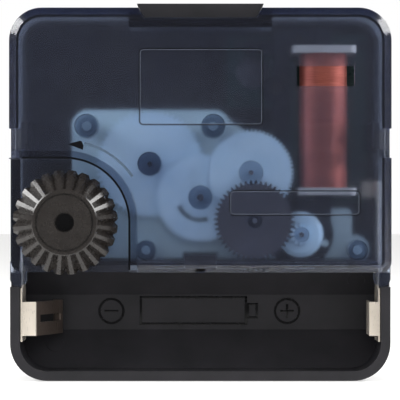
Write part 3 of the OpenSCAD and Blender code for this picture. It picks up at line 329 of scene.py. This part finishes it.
# %% The metal finish
def metal(name, colour, tarnished, gloss, marks=(1, 1, 1), mark_mm=0.08,
          mark_depth=0.002, cloud_mm=3.0, bare=1.0):
    """Metal with fine marks that run along the axis whose number is small. bare says how
    much of it shines as clean metal."""
    mat, tree, shader = new_finish(name)
    place = stretched_place(tree)
    clouds = between(tree, patches(tree, place, cloud_mm, 5, 0.6), 0, 1)
    tree.links.new(two_colours(tree, clouds, colour, tarnished), shader.inputs["Base Color"])
    fine = patches(tree, stretched_place(tree, marks), mark_mm, 3)
    tree.links.new(between(tree, fine, gloss[0], gloss[1]), shader.inputs["Roughness"])
    tree.links.new(relief(tree, fine, mark_depth), shader.inputs["Normal"])
    shader.inputs["Metallic"].default_value = bare
    return mat


brass = metal("turned brass", paint(226, 196, 128), paint(206, 172, 104), (0.2, 0.34),
              marks=(1, 0.08, 1))
nickel = metal("nickel strip", paint(220, 210, 196), paint(206, 196, 182), (0.26, 0.38),
               marks=(1, 1, 0.06), bare=0.6)
arbor_steel = metal("polished arbor steel", paint(206, 208, 212), paint(186, 188, 194),
                    (0.14, 0.24), marks=(1, 0.1, 1))
motor_sheet = metal("dark lacquered motor sheet", paint(58, 60, 66), paint(46, 48, 54),
                    (0.4, 0.55), marks=(0.2, 1, 1))
magnet_grey = metal("sintered magnet", paint(92, 92, 96), paint(70, 70, 74),
                    (0.4, 0.6), mark_mm=0.12, mark_depth=0.01)
solder = metal("solder", paint(208, 210, 214), paint(176, 178, 184), (0.22, 0.4),
               mark_mm=0.3, mark_depth=0.01)
print("metals:", brass.name, nickel.name, arbor_steel.name, motor_sheet.name)

# %% [markdown]
# The sprung leaf of the negative contact turns away from the light at its bend, and
# looks much darker there. Its finish takes the shaded colour beyond that line.

# %% The finish of the sprung leaf
LEAF_BEND_X, LEAF_BLEND = -24.3, 0.15


def shaded_beyond(mat, edge_mm, blend_mm, colour):
    """Turns a finish to another colour beyond a place along X."""
    tree = mat.node_tree
    shader = tree.nodes["Principled BSDF"]
    first = shader.inputs["Base Color"].links[0].from_socket
    where = tree.nodes.new("ShaderNodeTexCoord")
    axes = tree.nodes.new("ShaderNodeSeparateXYZ")
    tree.links.new(where.outputs["Object"], axes.inputs[0])
    beyond = between(tree, axes.outputs["X"], 0, 1, edge_mm * MM, (edge_mm + blend_mm) * MM)
    tree.links.new(two_colours(tree, beyond, first, colour), shader.inputs["Base Color"])


sprung_nickel = metal("nickel of the sprung leaf", paint(236, 226, 212),
                      paint(222, 212, 198), (0.26, 0.38), marks=(1, 1, 0.06), bare=0.6)
shaded_beyond(sprung_nickel, LEAF_BEND_X, LEAF_BLEND, paint(84, 74, 68))
print("leaf finish:", sprung_nickel.name)

# %% [markdown]
# ### The winding
# Thousands of turns of hair-thin lacquered copper wire lie side by side round the
# bobbin. One turn is thinner than a pixel, so the turns are a pattern: narrow streaks
# that run round the coil, and a slower unevenness where a layer lies a little higher.
# The lacquer makes the copper redder and keeps it glossy.

# %% The lacquered wire finish
def wound_wire(name, colour, shaded):
    """Lacquered copper wire wound round an upright coil."""
    mat, tree, shader = new_finish(name)
    round_about = stretched_place(tree, (0.05, 0.05, 1))
    turns = patches(tree, round_about, 0.16, 4, 0.7)
    layers = patches(tree, round_about, 1.3, 2)
    tone = between(tree, turns, 0, 1)
    tree.links.new(two_colours(tree, tone, colour, shaded), shader.inputs["Base Color"])
    tree.links.new(between(tree, layers, 0.3, 0.42), shader.inputs["Roughness"])
    uneven = relief(tree, layers, 0.04)
    tree.links.new(relief(tree, turns, 0.02, 1.0, uneven), shader.inputs["Normal"])
    shader.inputs["Metallic"].default_value = 0.85
    return mat


copper = wound_wire("lacquered copper wire", paint(206, 120, 104), paint(176, 92, 80))
print("winding finish:", copper.name)

# %% [markdown]
# ### The circuit board
# A thin board with a dark green solder mask. Under the mask run copper tracks that
# stand a few hundredths of a millimetre high and look a little paler. A brick pattern
# with long offset bricks gives straight tracks with gaps between them.

# %% The circuit board finish
def board_mask(name):
    """Solder mask over copper tracks."""
    mat, tree, shader = new_finish(name)
    turned = stretched_place(tree)
    turned.node.inputs["Rotation"].default_value = (radians(90), 0, 0)
    tracks = tree.nodes.new("ShaderNodeTexBrick")
    tracks.inputs["Scale"].default_value = 1 / (2.2 * MM)
    tracks.inputs["Mortar Size"].default_value = 0.12
    tracks.inputs["Mortar Smooth"].default_value = 0.2
    tree.links.new(turned, tracks.inputs["Vector"])
    base = two_colours(tree, tracks.outputs["Fac"], paint(34, 66, 58), paint(22, 44, 40))
    tree.links.new(base, shader.inputs["Base Color"])
    cloud = patches(tree, stretched_place(tree), 1.5, 4)
    tree.links.new(between(tree, cloud, 0.25, 0.4), shader.inputs["Roughness"])
    tree.links.new(relief(tree, tracks.outputs["Fac"], 0.03), shader.inputs["Normal"])
    return mat


mask_green = board_mask("green solder mask")
print("board finish:", mask_green.name)

# %% [markdown]
# ### Hand the finishes out
# Each solid keeps its shape and only changes its material. The list is ordered by
# finish, as a workshop would sort its parts into trays.

# %% Give each solid its finish
TRAYS = {
    black_satin: ["front_housing"],
    smoke: ["rear_cover"],
    plate_white: ["gear_plate"],
    bobbin_clear: ["coil_bobbin"],
    wheel_milk: ["rotor_disc", "rotor_pinion", "reducer_wheel", "reducer_pinion",
                 "seconds_wheel", "seconds_pinion", "third_wheel", "third_pinion",
                 "centre_wheel", "intermediate_wheel", "intermediate_pinion",
                 "hour_wheel", "hour_tube", "setting_wheel"],
    wheel_dark: ["step_wheel", "step_pinion", "chip_cap"],
    black_polish: ["setting_shaft"],
    knob_brown: ["setting_knob"],
    brass: ["threaded_neck", "minute_tube", "cannon_pinion"],
    sprung_nickel: ["contact_negative"],
    nickel: ["contact_positive", "clutch_spring", "coil_pins"],
    arbor_steel: ["rotor_arbor", "step_arbor", "reducer_arbor", "seconds_arbor",
                  "third_arbor"],
    motor_sheet: ["coil_core", "stator_plate", "crystal_can"],
    magnet_grey: ["rotor_magnet"],
    solder: ["solder_joints"],
    copper: ["coil_winding"],
    mask_green: ["circuit_board"],
}
for tray, names in TRAYS.items():
    for name in names:
        mesh = nodes_in[name].data
        mesh.materials.clear()
        mesh.materials.append(tray)
left_out = set(nodes_in) - {name for names in TRAYS.values() for name in names}
print("solids without a finish:", sorted(left_out))

# %% [markdown]
# ## The thread on the neck
# The neck that passes through the dial carries a fine thread for its nut. The solid has
# only the outer cylinder. A thread is one tooth profile that turns and climbs by one
# pitch per turn, which is what a spin with a climb does. The turns are welded, cut flat
# at both ends, and closed by a ring of faces round the bore.

# %% Turn the thread
NECK_R, NECK_LEN, BORE_R = 3.9, 9.5, 2.77
THREAD_PITCH, THREAD_DEPTH = 0.75, 0.42
RISE_FROM, RISE_TO, FALL_FROM, FALL_TO = 0.1, 0.33, 0.43, 0.66
TURN_STEPS = 64
TURNS_BELOW, TURNS_ABOVE = 2, 2
WELD, ON_PLANE = 0.004, 0.001


def thread_shell(bm):
    """A climbing tooth round the neck, longer than the neck at both ends."""
    root = NECK_R - THREAD_DEPTH
    tooth = [(root, 0), (root, RISE_FROM), (NECK_R, RISE_TO), (NECK_R, FALL_FROM),
             (root, FALL_TO), (root, THREAD_PITCH)]
    verts = [bm.verts.new((r, 0, z - NECK_LEN - TURNS_BELOW * THREAD_PITCH))
             for r, z in tooth]
    edges = [bm.edges.new(pair) for pair in zip(verts, verts[1:])]
    turns = int(NECK_LEN / THREAD_PITCH) + TURNS_BELOW + TURNS_ABOVE
    bmesh.ops.spin(bm, geom=verts + edges, cent=HANDS, axis=(0, 0, 1),
                   dvec=(0, 0, THREAD_PITCH / TURN_STEPS), angle=tau * turns,
                   steps=TURN_STEPS * turns)
    bmesh.ops.remove_doubles(bm, verts=bm.verts, dist=WELD)


def cut_flat(bm, z, keep_above):
    """Cuts the mesh by a level plane and gives the edges of the cut."""
    everything = bm.verts[:] + bm.edges[:] + bm.faces[:]
    bmesh.ops.bisect_plane(bm, geom=everything, dist=ON_PLANE / 10, plane_co=(0, 0, z),
                           plane_no=(0, 0, 1), clear_inner=keep_above,
                           clear_outer=not keep_above)
    return [e for e in bm.edges if e.is_boundary
            and all(abs(v.co.z - z) < ON_PLANE for v in e.verts)]


def bore_ring(bm, z):
    """One circle of the bore."""
    made = bmesh.ops.create_circle(bm, segments=TURN_STEPS, radius=BORE_R,
                                   matrix=Matrix.Translation((0, 0, z)))
    return list(dict.fromkeys(e for v in made["verts"] for e in v.link_edges))


neck = bmesh.new()
thread_shell(neck)
outer_low = cut_flat(neck, -NECK_LEN, True)
outer_high = cut_flat(neck, 0, False)
outer_low = [e for e in outer_low if e.is_valid]
inner_low, inner_high = bore_ring(neck, -NECK_LEN), bore_ring(neck, 0)
bmesh.ops.bridge_loops(neck, edges=outer_low + inner_low)
bmesh.ops.bridge_loops(neck, edges=outer_high + inner_high)
bmesh.ops.bridge_loops(neck, edges=inner_low + inner_high)
print("open edges of the threaded neck:", sum(e.is_boundary for e in neck.edges))

# %% [markdown]
# Behind the thread the neck has a thick root in the front wall and a thin flange that
# holds it from inside. Both are one stepped profile spun round the hands' axis.

# %% Add the root and the flange
ROOT_R, FLANGE_R, WALL, FLANGE = 4.2, 5.4, 1.2, 0.25
LATHE_WELD = 0.0005


def lathe(bm, profile, centre, steps):
    """Spins a closed profile of (radius, z) points into a turned solid."""
    verts = [bm.verts.new((centre[0] + r, centre[1], z)) for r, z in profile]
    edges = [bm.edges.new((verts[i - 1], verts[i])) for i in range(len(verts))]
    bmesh.ops.spin(bm, geom=verts + edges, cent=(centre[0], centre[1], 0), axis=(0, 0, 1),
                   angle=tau, steps=steps, use_merge=True)
    bmesh.ops.remove_doubles(bm, verts=bm.verts, dist=LATHE_WELD)


lathe(neck, [(BORE_R, 0.0), (ROOT_R, 0.0), (ROOT_R, WALL), (FLANGE_R, WALL),
             (FLANGE_R, WALL + FLANGE), (BORE_R, WALL + FLANGE)], HANDS, TURN_STEPS)
neck_piece = close("neck_thread", neck, brass, "case")
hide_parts("threaded_neck")

# %% [markdown]
# ## Marks in the battery bay
# The floor of the bay shows how the cell goes in: a minus sign and a plus sign in rings,
# and the outline of a cell between them. They are raised a little, with polished tops,
# so they look darker than the satin floor. Rings are spun, straight bars are boxes with
# their upper edges bevelled.

# %% Helpers for raised marks
MARK_H, MARK_W, MARK_SUNK = 0.16, 0.34, 0.05
MARK_SOFT, RING_STEPS = 0.4, 48


def raised_bar(bm, x0, y0, x1, y1, z, height):
    """A low bar with softened upper edges."""
    low = z - MARK_SUNK
    size = Matrix.Diagonal((x1 - x0, y1 - y0, height + MARK_SUNK, 1))
    middle = Matrix.Translation(((x0 + x1) / 2, (y0 + y1) / 2, (low + z + height) / 2))
    made = bmesh.ops.create_cube(bm, size=1, matrix=middle @ size)
    top = [e for v in made["verts"] for e in v.link_edges
           if all(w.co.z > z + height / 2 for w in e.verts)]
    bmesh.ops.bevel(bm, geom=list(dict.fromkeys(top)), offset=height * MARK_SOFT,
                    segments=2, affect="EDGES", profile=0.5, material=-1)


def raised_frame(bm, x0, y0, x1, y1, z, width, height):
    """Four low bars round a rectangle."""
    raised_bar(bm, x0, y0, x1, y0 + width, z, height)
    raised_bar(bm, x0, y1 - width, x1, y1, z, height)
    raised_bar(bm, x0, y0, x0 + width, y1, z, height)
    raised_bar(bm, x1 - width, y0, x1, y1, z, height)


def raised_ring(bm, x, y, z, radius, width, height):
    """A low ring with a softened top."""
    soft = height * MARK_SOFT
    lathe(bm, [(radius - width, z - MARK_SUNK), (radius, z - MARK_SUNK),
               (radius, z + height - soft), (radius - soft, z + height),
               (radius - width + soft, z + height), (radius - width, z + height - soft)],
          (x, y), RING_STEPS)


print("marks stand", MARK_H, "mm high")

# %% Raise the marks
SIGN_R, SIGN_Y, MINUS_X, PLUS_X, STROKE = 2.0, -17.25, -13.5, 13.2, 1.05
CELL = (-9.2, -19.35, 7.1, -15.0)
NUB = (7.1, -18.4, 8.75, -16.05)
marks = bmesh.new()
for sign_x in (MINUS_X, PLUS_X):
    raised_ring(marks, sign_x, SIGN_Y, BAY_FLOOR_Z, SIGN_R, MARK_W, MARK_H)
    raised_bar(marks, sign_x - STROKE, SIGN_Y - MARK_W / 2, sign_x + STROKE,
               SIGN_Y + MARK_W / 2, BAY_FLOOR_Z, MARK_H)
raised_bar(marks, PLUS_X - MARK_W / 2, SIGN_Y - STROKE, PLUS_X + MARK_W / 2,
           SIGN_Y + STROKE, BAY_FLOOR_Z, MARK_H)
for outline in (CELL, NUB):
    raised_frame(marks, *outline, BAY_FLOOR_Z, MARK_W, MARK_H)
close("bay_marks", marks, black_polish, "case")

# %% [markdown]
# ## Marks of the mould
# Where pins push the moulding out of its tool they leave flat round marks. One lies on
# each sloping side of the bay, and more lie on the dial side. Each is a very low disc
# with a soft rim, set into what carries it.

# %% Press the ejector marks
EJECTOR_R, BAY_MARK_H, DIAL_MARK_H = 1.35, 0.05, 0.03
BAY_MARKS = ((-21.9, -22.2, -BAY_SLOPE), (23.6, -12.6, BAY_SLOPE))
DIAL_MARKS = ((-20, 20), (20, 20), (-20, -20), (20, -20), (0, 20), (0, -20))


def low_disc(bm, x, y, z, height, tilt=0.0):
    """A very low disc, tilted about the x axis to lie on a slope."""
    stand = Matrix.Translation((x, y, z)) @ Matrix.Rotation(tilt, 4, "X")
    made = bmesh.ops.create_cone(bm, cap_ends=True, segments=40, radius1=EJECTOR_R,
                                 radius2=EJECTOR_R - height, depth=height * 2)
    bmesh.ops.transform(bm, matrix=stand, verts=made["verts"])


def slope_z(y):
    """Height of the bay's sloping side above the dial face."""
    return BAY_FLOOR_Z + (abs(y - BAY_Y) - BAY_FLAT) * tan(BAY_SLOPE)


ejectors = bmesh.new()
for x, y, tilt in BAY_MARKS:
    low_disc(ejectors, x, y, slope_z(y), BAY_MARK_H, tilt)
for x, y in DIAL_MARKS:
    low_disc(ejectors, x, y, DIAL_MARK_H, DIAL_MARK_H)
close("mould_marks", ejectors, black_satin, "case")

# %% [markdown]
# ## The setting arrow
# An arc with a solid head is sunk into the cover round the knob and shows which way to
# turn it. It looks dark only from its own shadow, so it is made as painted shade: a dark
# strip that lies in the back face, black for the head and fainter for the arc. The arc is
# a spun strip, and the head a small prism.

# %% Lay in the arrow
INLAY_H = 0.03
ARROW_HEAD = ((-19.38, 7.81), (-17.15, 6.94), (-17.05, 7.6), (-17.3, 8.2), (-17.55, 8.28))
SWEEP_R, SWEEP_W, SWEEP_FROM, SWEEP_TO, SWEEP_STEPS = 11.95, 0.34, 76, 34, 40


def arc_strip(bm, centre, radius, width, start, end, z, height, steps):
    """A flat strip that follows an arc, from one angle to the other."""
    half = width / 2
    ring = [(radius - half, z - height), (radius + half, z - height),
            (radius + half, z + height), (radius - half, z + height)]
    verts = [bm.verts.new((centre[0] + r, centre[1], h)) for r, h in ring]
    face = bm.faces.new(verts)
    turn = Matrix.Rotation(start, 4, "Z")
    bmesh.ops.rotate(bm, cent=centre, matrix=turn, verts=verts)
    bmesh.ops.spin(bm, geom=verts + face.edges[:] + [face], cent=centre, axis=(0, 0, 1),
                   angle=end - start, steps=steps)


def flat_prism(bm, outline, z, height):
    """A thin plate with that outline."""
    face = bm.faces.new([bm.verts.new((x, y, z - height)) for x, y in outline])
    made = bmesh.ops.extrude_face_region(bm, geom=[face])
    lifted = [v for v in made["geom"] if isinstance(v, bmesh.types.BMVert)]
    bmesh.ops.translate(bm, vec=(0, 0, 2 * height), verts=lifted)


# Painted shade: this black stands in for the shadow that darkens the arrow's head and the
# edge lines below.
painted_shade = moulded("sunk mark shade", paint(5, 6, 9), paint(9, 10, 14), (0.4, 0.55),
              specular=0.1)
arrow = bmesh.new()
flat_prism(arrow, ARROW_HEAD, BACK_Z, INLAY_H)
close("arrow_head", arrow, painted_shade, "case")
# Fainter painted shade for the arrow's arc.
faint = moulded("faint mark shade", paint(54, 68, 84), paint(62, 76, 92),
                (0.5, 0.6), specular=0.1)
sweep = bmesh.new()
arc_strip(sweep, KNOB, SWEEP_R, SWEEP_W, radians(SWEEP_FROM), radians(SWEEP_TO), BACK_Z,
          INLAY_H / 3, SWEEP_STEPS)
close("arrow_sweep", sweep, faint, "case")

# %% [markdown]
# ## Edge lines of the cover
# Two flat frames lie on the cover's back. Their steps are a few hundredths of a
# millimetre deep and show as a dark line with a lit line beside it. The step round the
# knob's pocket shows as a black line too. Each line is a thin strip along a path, laid
# in like the arrow: the dark lines are painted shade and the lit line is a painted
# highlight.

# %% Helpers for lines along a path
LINE_W, LIT_W, STEP_W = 0.13, 0.078, 0.3
CORNER_R, CORNER_STEPS, STEP_STEPS = 0.6, 5, 32


def strip(bm, path, width, z, height, closed):
    """A flat strip of the given width along a path of points."""
    rings = []
    for i, (x, y) in enumerate(path):
        before = path[i - 1] if closed or i else path[i]
        after = path[(i + 1) % len(path)] if closed or i + 1 < len(path) else path[i]
        along = Vector((after[0] - before[0], after[1] - before[1], 0)).normalized()
        side = Vector((-along.y, along.x, 0)) * width / 2
        rings.append([bm.verts.new(Vector((x, y, z + h)) + s * side)
                      for s, h in ((-1, -height), (1, -height), (1, height), (-1, height))])
    for one, two in zip(rings, rings[1:] + (rings[:1] if closed else [])):
        for i in range(4):
            bm.faces.new((one[i], one[i - 3], two[i - 3], two[i]))
    if not closed:
        bm.faces.new(rings[0])
        bm.faces.new(rings[-1])


def arc_points(x, y, radius, start, end, steps):
    """Points along an arc, with angles in degrees."""
    angles = [radians(start + (end - start) * i / steps) for i in range(steps + 1)]
    return [(x + radius * cos(a), y + radius * sin(a)) for a in angles]


def frame_points(x, y, width, height, radius):
    """Points round a rectangle with rounded corners."""
    across, up = width / 2 - radius, height / 2 - radius
    corners = ((across, up, 0), (-across, up, 90), (-across, -up, 180), (across, -up, 270))
    return [p for dx, dy, start in corners
            for p in arc_points(x + dx, y + dy, radius, start, start + 90, CORNER_STEPS)]


print("edge lines are", LINE_W, "mm wide, the pocket's line", STEP_W, "mm")

# %% Lay in the edge lines
FRAMES = ((0.1, 16.15, 18.0, 11.1), (13.8, -0.8, 19.0, 3.55))
STEP_R, STEP_LEFT_X, STEP_LOW_Y = 9.45, -26.0, -10.6
# shade_lines carries the painted shade, and lit_lines the painted highlight.
shade_lines = bmesh.new()
lit_lines = bmesh.new()
for x, y, width, height in FRAMES:
    outside = frame_points(x, y, width, height, CORNER_R)
    inside = frame_points(x, y, width - 2 * LINE_W, height - 2 * LINE_W, CORNER_R - LINE_W)
    strip(shade_lines, outside, LINE_W, BACK_Z, INLAY_H, True)
    strip(lit_lines, inside, LIT_W, BACK_Z, INLAY_H, True)
# The pocket's step is drawn as a line of painted shade.
step_path = ([(STEP_LEFT_X, KNOB.y + STEP_R)]
             + arc_points(KNOB.x, KNOB.y, STEP_R, 90, 0, STEP_STEPS)
             + [(KNOB.x + STEP_R, STEP_LOW_Y)])
strip(shade_lines, step_path, STEP_W, BACK_Z, INLAY_H, False)
# Painted highlight: the lit line just inside each frame's dark line.
lit = moulded("lit mark edge", paint(66, 72, 84), paint(78, 84, 96), (0.4, 0.5),
              specular=0.2)
close("shade_lines", shade_lines, painted_shade, "case")
close("lit_lines", lit_lines, lit, "case")

# %% [markdown]
# ## The ends of the wire
# Two hair-thin wires leave the winding, cross the upper flange and wrap round its pins.
# They are thinner than a tenth of a millimetre; drawn slightly thicker they still read
# as hairs. Each is a curve with a round section, turned into a mesh.

# %% Wrap the wire ends
WIRE_R, COIL_TOP = 0.06, 21.35
PIN_Y, PIN_OUT = COIL_TOP + 0.55, 3.2
WRAP_R, WRAP_Z, WRAP_PITCH, WRAPS, WRAP_STEPS = 0.43, 4.6, 0.14, 4, 16
LEAVES_OUT, CROSSES_OUT = 2.4, 2.9


def hair_wire(name, points):
    """A thin round wire through the given points of the drawing."""
    path = bpy.data.curves.new(name, "CURVE")
    path.dimensions = "3D"
    path.bevel_depth = WIRE_R * MM
    path.bevel_resolution = 2
    line = path.splines.new("POLY")
    line.points.add(len(points) - 1)
    for knot, (x, y, z) in zip(line.points, points):
        knot.co = (*spot(x, y, z), 1)
    holder = bpy.data.objects.new(name, path)
    mesh = bpy.data.meshes.new_from_object(holder)
    bpy.data.objects.remove(holder)
    mesh.materials.clear()
    mesh.materials.append(copper)
    made = bpy.data.objects.new(name, mesh)
    bpy.context.scene.collection.objects.link(made)
    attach(made, "case")


turned = [tau * i / WRAP_STEPS for i in range(WRAPS * WRAP_STEPS)]
for side, word in ((-1, "left"), (1, "right")):
    pin_x = COIL_X + side * PIN_OUT
    start = [(COIL_X + side * LEAVES_OUT, COIL_TOP - 0.3, COIL_Z - COIL_R * 0.72),
             (COIL_X + side * CROSSES_OUT, COIL_TOP + 0.2, WRAP_Z - 0.05)]
    wrap = [(pin_x + WRAP_R * cos(a), PIN_Y + WRAP_R * sin(a), WRAP_Z - WRAP_PITCH * a / tau)
            for a in turned]
    hair_wire("wire_end_" + word, start + wrap)
print("wire ends wrapped")

# %% [markdown]
# ## The studio
# The camera stands square behind the movement, about 35 cm away, where the sizes in
# the photograph put it. The optical axis goes through the middle of the picture.

# %% Set up the camera
CAMERA_AT, LENS = (-0.00004, -0.363, -0.00037), 214
camera_data = bpy.data.cameras.new("camera")
camera_data.sensor_width = 36
camera_data.lens = LENS
camera_data.clip_start = 0.01
camera = bpy.data.objects.new("camera", camera_data)
camera.location = CAMERA_AT
camera.rotation_euler = (radians(90), 0, 0)
bpy.context.scene.collection.objects.link(camera)
bpy.context.scene.camera = camera
print("camera", round(-CAMERA_AT[1] / MM - BACK_Z), "mm from the cover")

# %% [markdown]
# Cycles tells a shader what kind of ray has met it. The studio uses that: the camera
# sees a white room, while mirrors and clear plastic see one that is dim in front.

# %% Helpers that ask what ray it is
ROOM_DIM = 0.22


def either_ray(tree, one, other):
    """1 for rays of either kind, and 0 for all others."""
    path = tree.nodes.new("ShaderNodeLightPath")
    either = tree.nodes.new("ShaderNodeMath")
    either.operation = "MAXIMUM"
    tree.links.new(path.outputs[one], either.inputs[0])
    tree.links.new(path.outputs[other], either.inputs[1])
    return either.outputs[0]


def mirrored_or_bent(tree):
    """1 for rays from a mirror or out of glass, and 0 for others."""
    return either_ray(tree, "Is Glossy Ray", "Is Transmission Ray")


def times(tree, one, two):
    """Two numbers multiplied."""
    product = tree.nodes.new("ShaderNodeMath")
    product.operation = "MULTIPLY"
    tree.links.new(one, product.inputs[0])
    tree.links.new(two, product.inputs[1])
    return product.outputs[0]


def glow(tree, level):
    """A shader that shows one grey, whatever light falls on it."""
    shade = tree.nodes.new("ShaderNodeEmission")
    shade.inputs["Color"].default_value = (level, level, level, 1)
    return shade.outputs[0]


print("mirrors see the dim room at", ROOM_DIM)

# %% [markdown]
# The movement stands on a pale floor. The floor is white to the camera, as in a
# product photograph, and still darkens where the object takes its light: part of its
# look is its own lit colour, and the rest is a plain white that only the camera and
# bent rays see. In front of the movement, mirrored and bent rays find it as dim as the
# room there, or the flat back would mirror a white floor.

# %% Lay the floor
FLOOR_Z, FLOOR_HALF = -0.0271, 1.5
WHITE_SHARE = 0.5
DIM_UP_TO, BRIGHT_FROM = -0.08, -0.02


def floor_paper():
    """Pale paper that is white to the camera and dim to mirrors in front of it."""
    mat, tree, shader = new_finish("pale floor paper")
    fibre = patches(tree, stretched_place(tree), 1.5, 3)
    tint = two_colours(tree, between(tree, fibre, 0, 1), paint(243, 242, 240),
                       paint(247, 246, 244))
    tree.links.new(tint, shader.inputs["Base Color"])
    shader.inputs["Roughness"].default_value = 0.8
    shader.inputs["Specular IOR Level"].default_value = 0.1
    seen = either_ray(tree, "Is Camera Ray", "Is Transmission Ray")
    whiteness = between(tree, seen, 0, WHITE_SHARE, 0, 1)
    lit_paper = two_shaders(tree, whiteness, shader.outputs[0], glow(tree, 1))
    where = tree.nodes.new("ShaderNodeTexCoord")
    axes = tree.nodes.new("ShaderNodeSeparateXYZ")
    tree.links.new(where.outputs["Object"], axes.inputs[0])
    in_front = between(tree, axes.outputs["Y"], 1, 0, DIM_UP_TO, BRIGHT_FROM)
    dimmed = times(tree, in_front, mirrored_or_bent(tree))
    surface = two_shaders(tree, dimmed, lit_paper, glow(tree, ROOM_DIM))
    tree.links.new(surface, tree.nodes["Material Output"].inputs["Surface"])
    return mat


sheet = bmesh.new()
bmesh.ops.create_grid(sheet, x_segments=1, y_segments=1, size=FLOOR_HALF)
bmesh.ops.translate(sheet, vec=(0, 0, FLOOR_Z), verts=sheet.verts)
plane = bpy.data.meshes.new("floor")
sheet.to_mesh(plane)
sheet.free()
floor = bpy.data.objects.new("floor", plane)
bpy.context.scene.collection.objects.link(floor)
floor.data.materials.append(floor_paper())
print("floor at", FLOOR_Z, "m")

# %% [markdown]
# The backdrop is white and the room beside and in front of it is dim. That is why the
# flat back and the bevels stay deep in tone, and only edges that see the backdrop at a
# flat angle get a bright line. The world does this with the direction of a ray: its part
# along Y says how far it points at the backdrop, and its part along Z how far it points
# up, where the room is darker still. Mirrored rays and rays through the clear cover see
# that room, the camera sees plain white, and rays that light dull surfaces get one even
# level.

# %% Light the room
ROOM_SOFT, ROOM_HIGH = 0.75, 0.1
BACKDROP_FROM, BACKDROP_FULL = 0.2, 0.85
HIGH_FROM, HIGH_FULL = 0.1, 0.6
world = bpy.data.worlds.new("light tent")
bpy.context.scene.world = world
world.use_nodes = True
sky = world.node_tree
background = sky.nodes["Background"]
direction = sky.nodes.new("ShaderNodeTexCoord")
ways = sky.nodes.new("ShaderNodeSeparateXYZ")
sky.links.new(direction.outputs["Generated"], ways.inputs[0])
ahead = between(sky, ways.outputs["Y"], ROOM_DIM, 1, BACKDROP_FROM, BACKDROP_FULL)
above = between(sky, ways.outputs["Z"], 1, ROOM_HIGH, HIGH_FROM, HIGH_FULL)
room = two_numbers(sky, mirrored_or_bent(sky), ROOM_SOFT, times(sky, ahead, above))
path = sky.nodes.new("ShaderNodeLightPath")
sky.links.new(two_numbers(sky, path.outputs["Is Camera Ray"], room, 1),
              background.inputs["Strength"])
background.inputs["Color"].default_value = (1, 1, 1, 1)
print("room lit")

# %% [markdown]
# Four soft panels add the modelling. The large front one is the main light, and no
# mirrored or bent ray sees it, or it would veil the glossy cover. The two at the sides
# draw the bright bands on the coil and the knob's flutes, and a weak one hangs above.

# %% Hang the lamps
def panel(name, where, size, watts):
    """A flat lamp that faces the middle of the object."""
    data = bpy.data.lights.new(name, "AREA")
    data.shape = "RECTANGLE"
    data.size, data.size_y = size
    data.energy = watts
    lamp = bpy.data.objects.new(name, data)
    lamp.location = where
    lamp.rotation_euler = (-Vector(where)).to_track_quat("-Z", "Y").to_euler()
    bpy.context.scene.collection.objects.link(lamp)
    return lamp


front = panel("front panel", (0.0, -1.1, 0.1), (0.8, 0.8), 7.0)
front.visible_glossy = False
front.visible_transmission = False
for word, side in (("left", -1), ("right", 1)):
    panel(word + " panel", (side * 0.42, -0.09, 0.27), (0.3, 0.25), 3.3)
panel("top panel", (0.0, -0.2, 0.5), (0.5, 0.3), 0.1)
view = bpy.context.scene.view_settings
view.view_transform = "Standard"
print("lamps hung, view transform", view.view_transform)
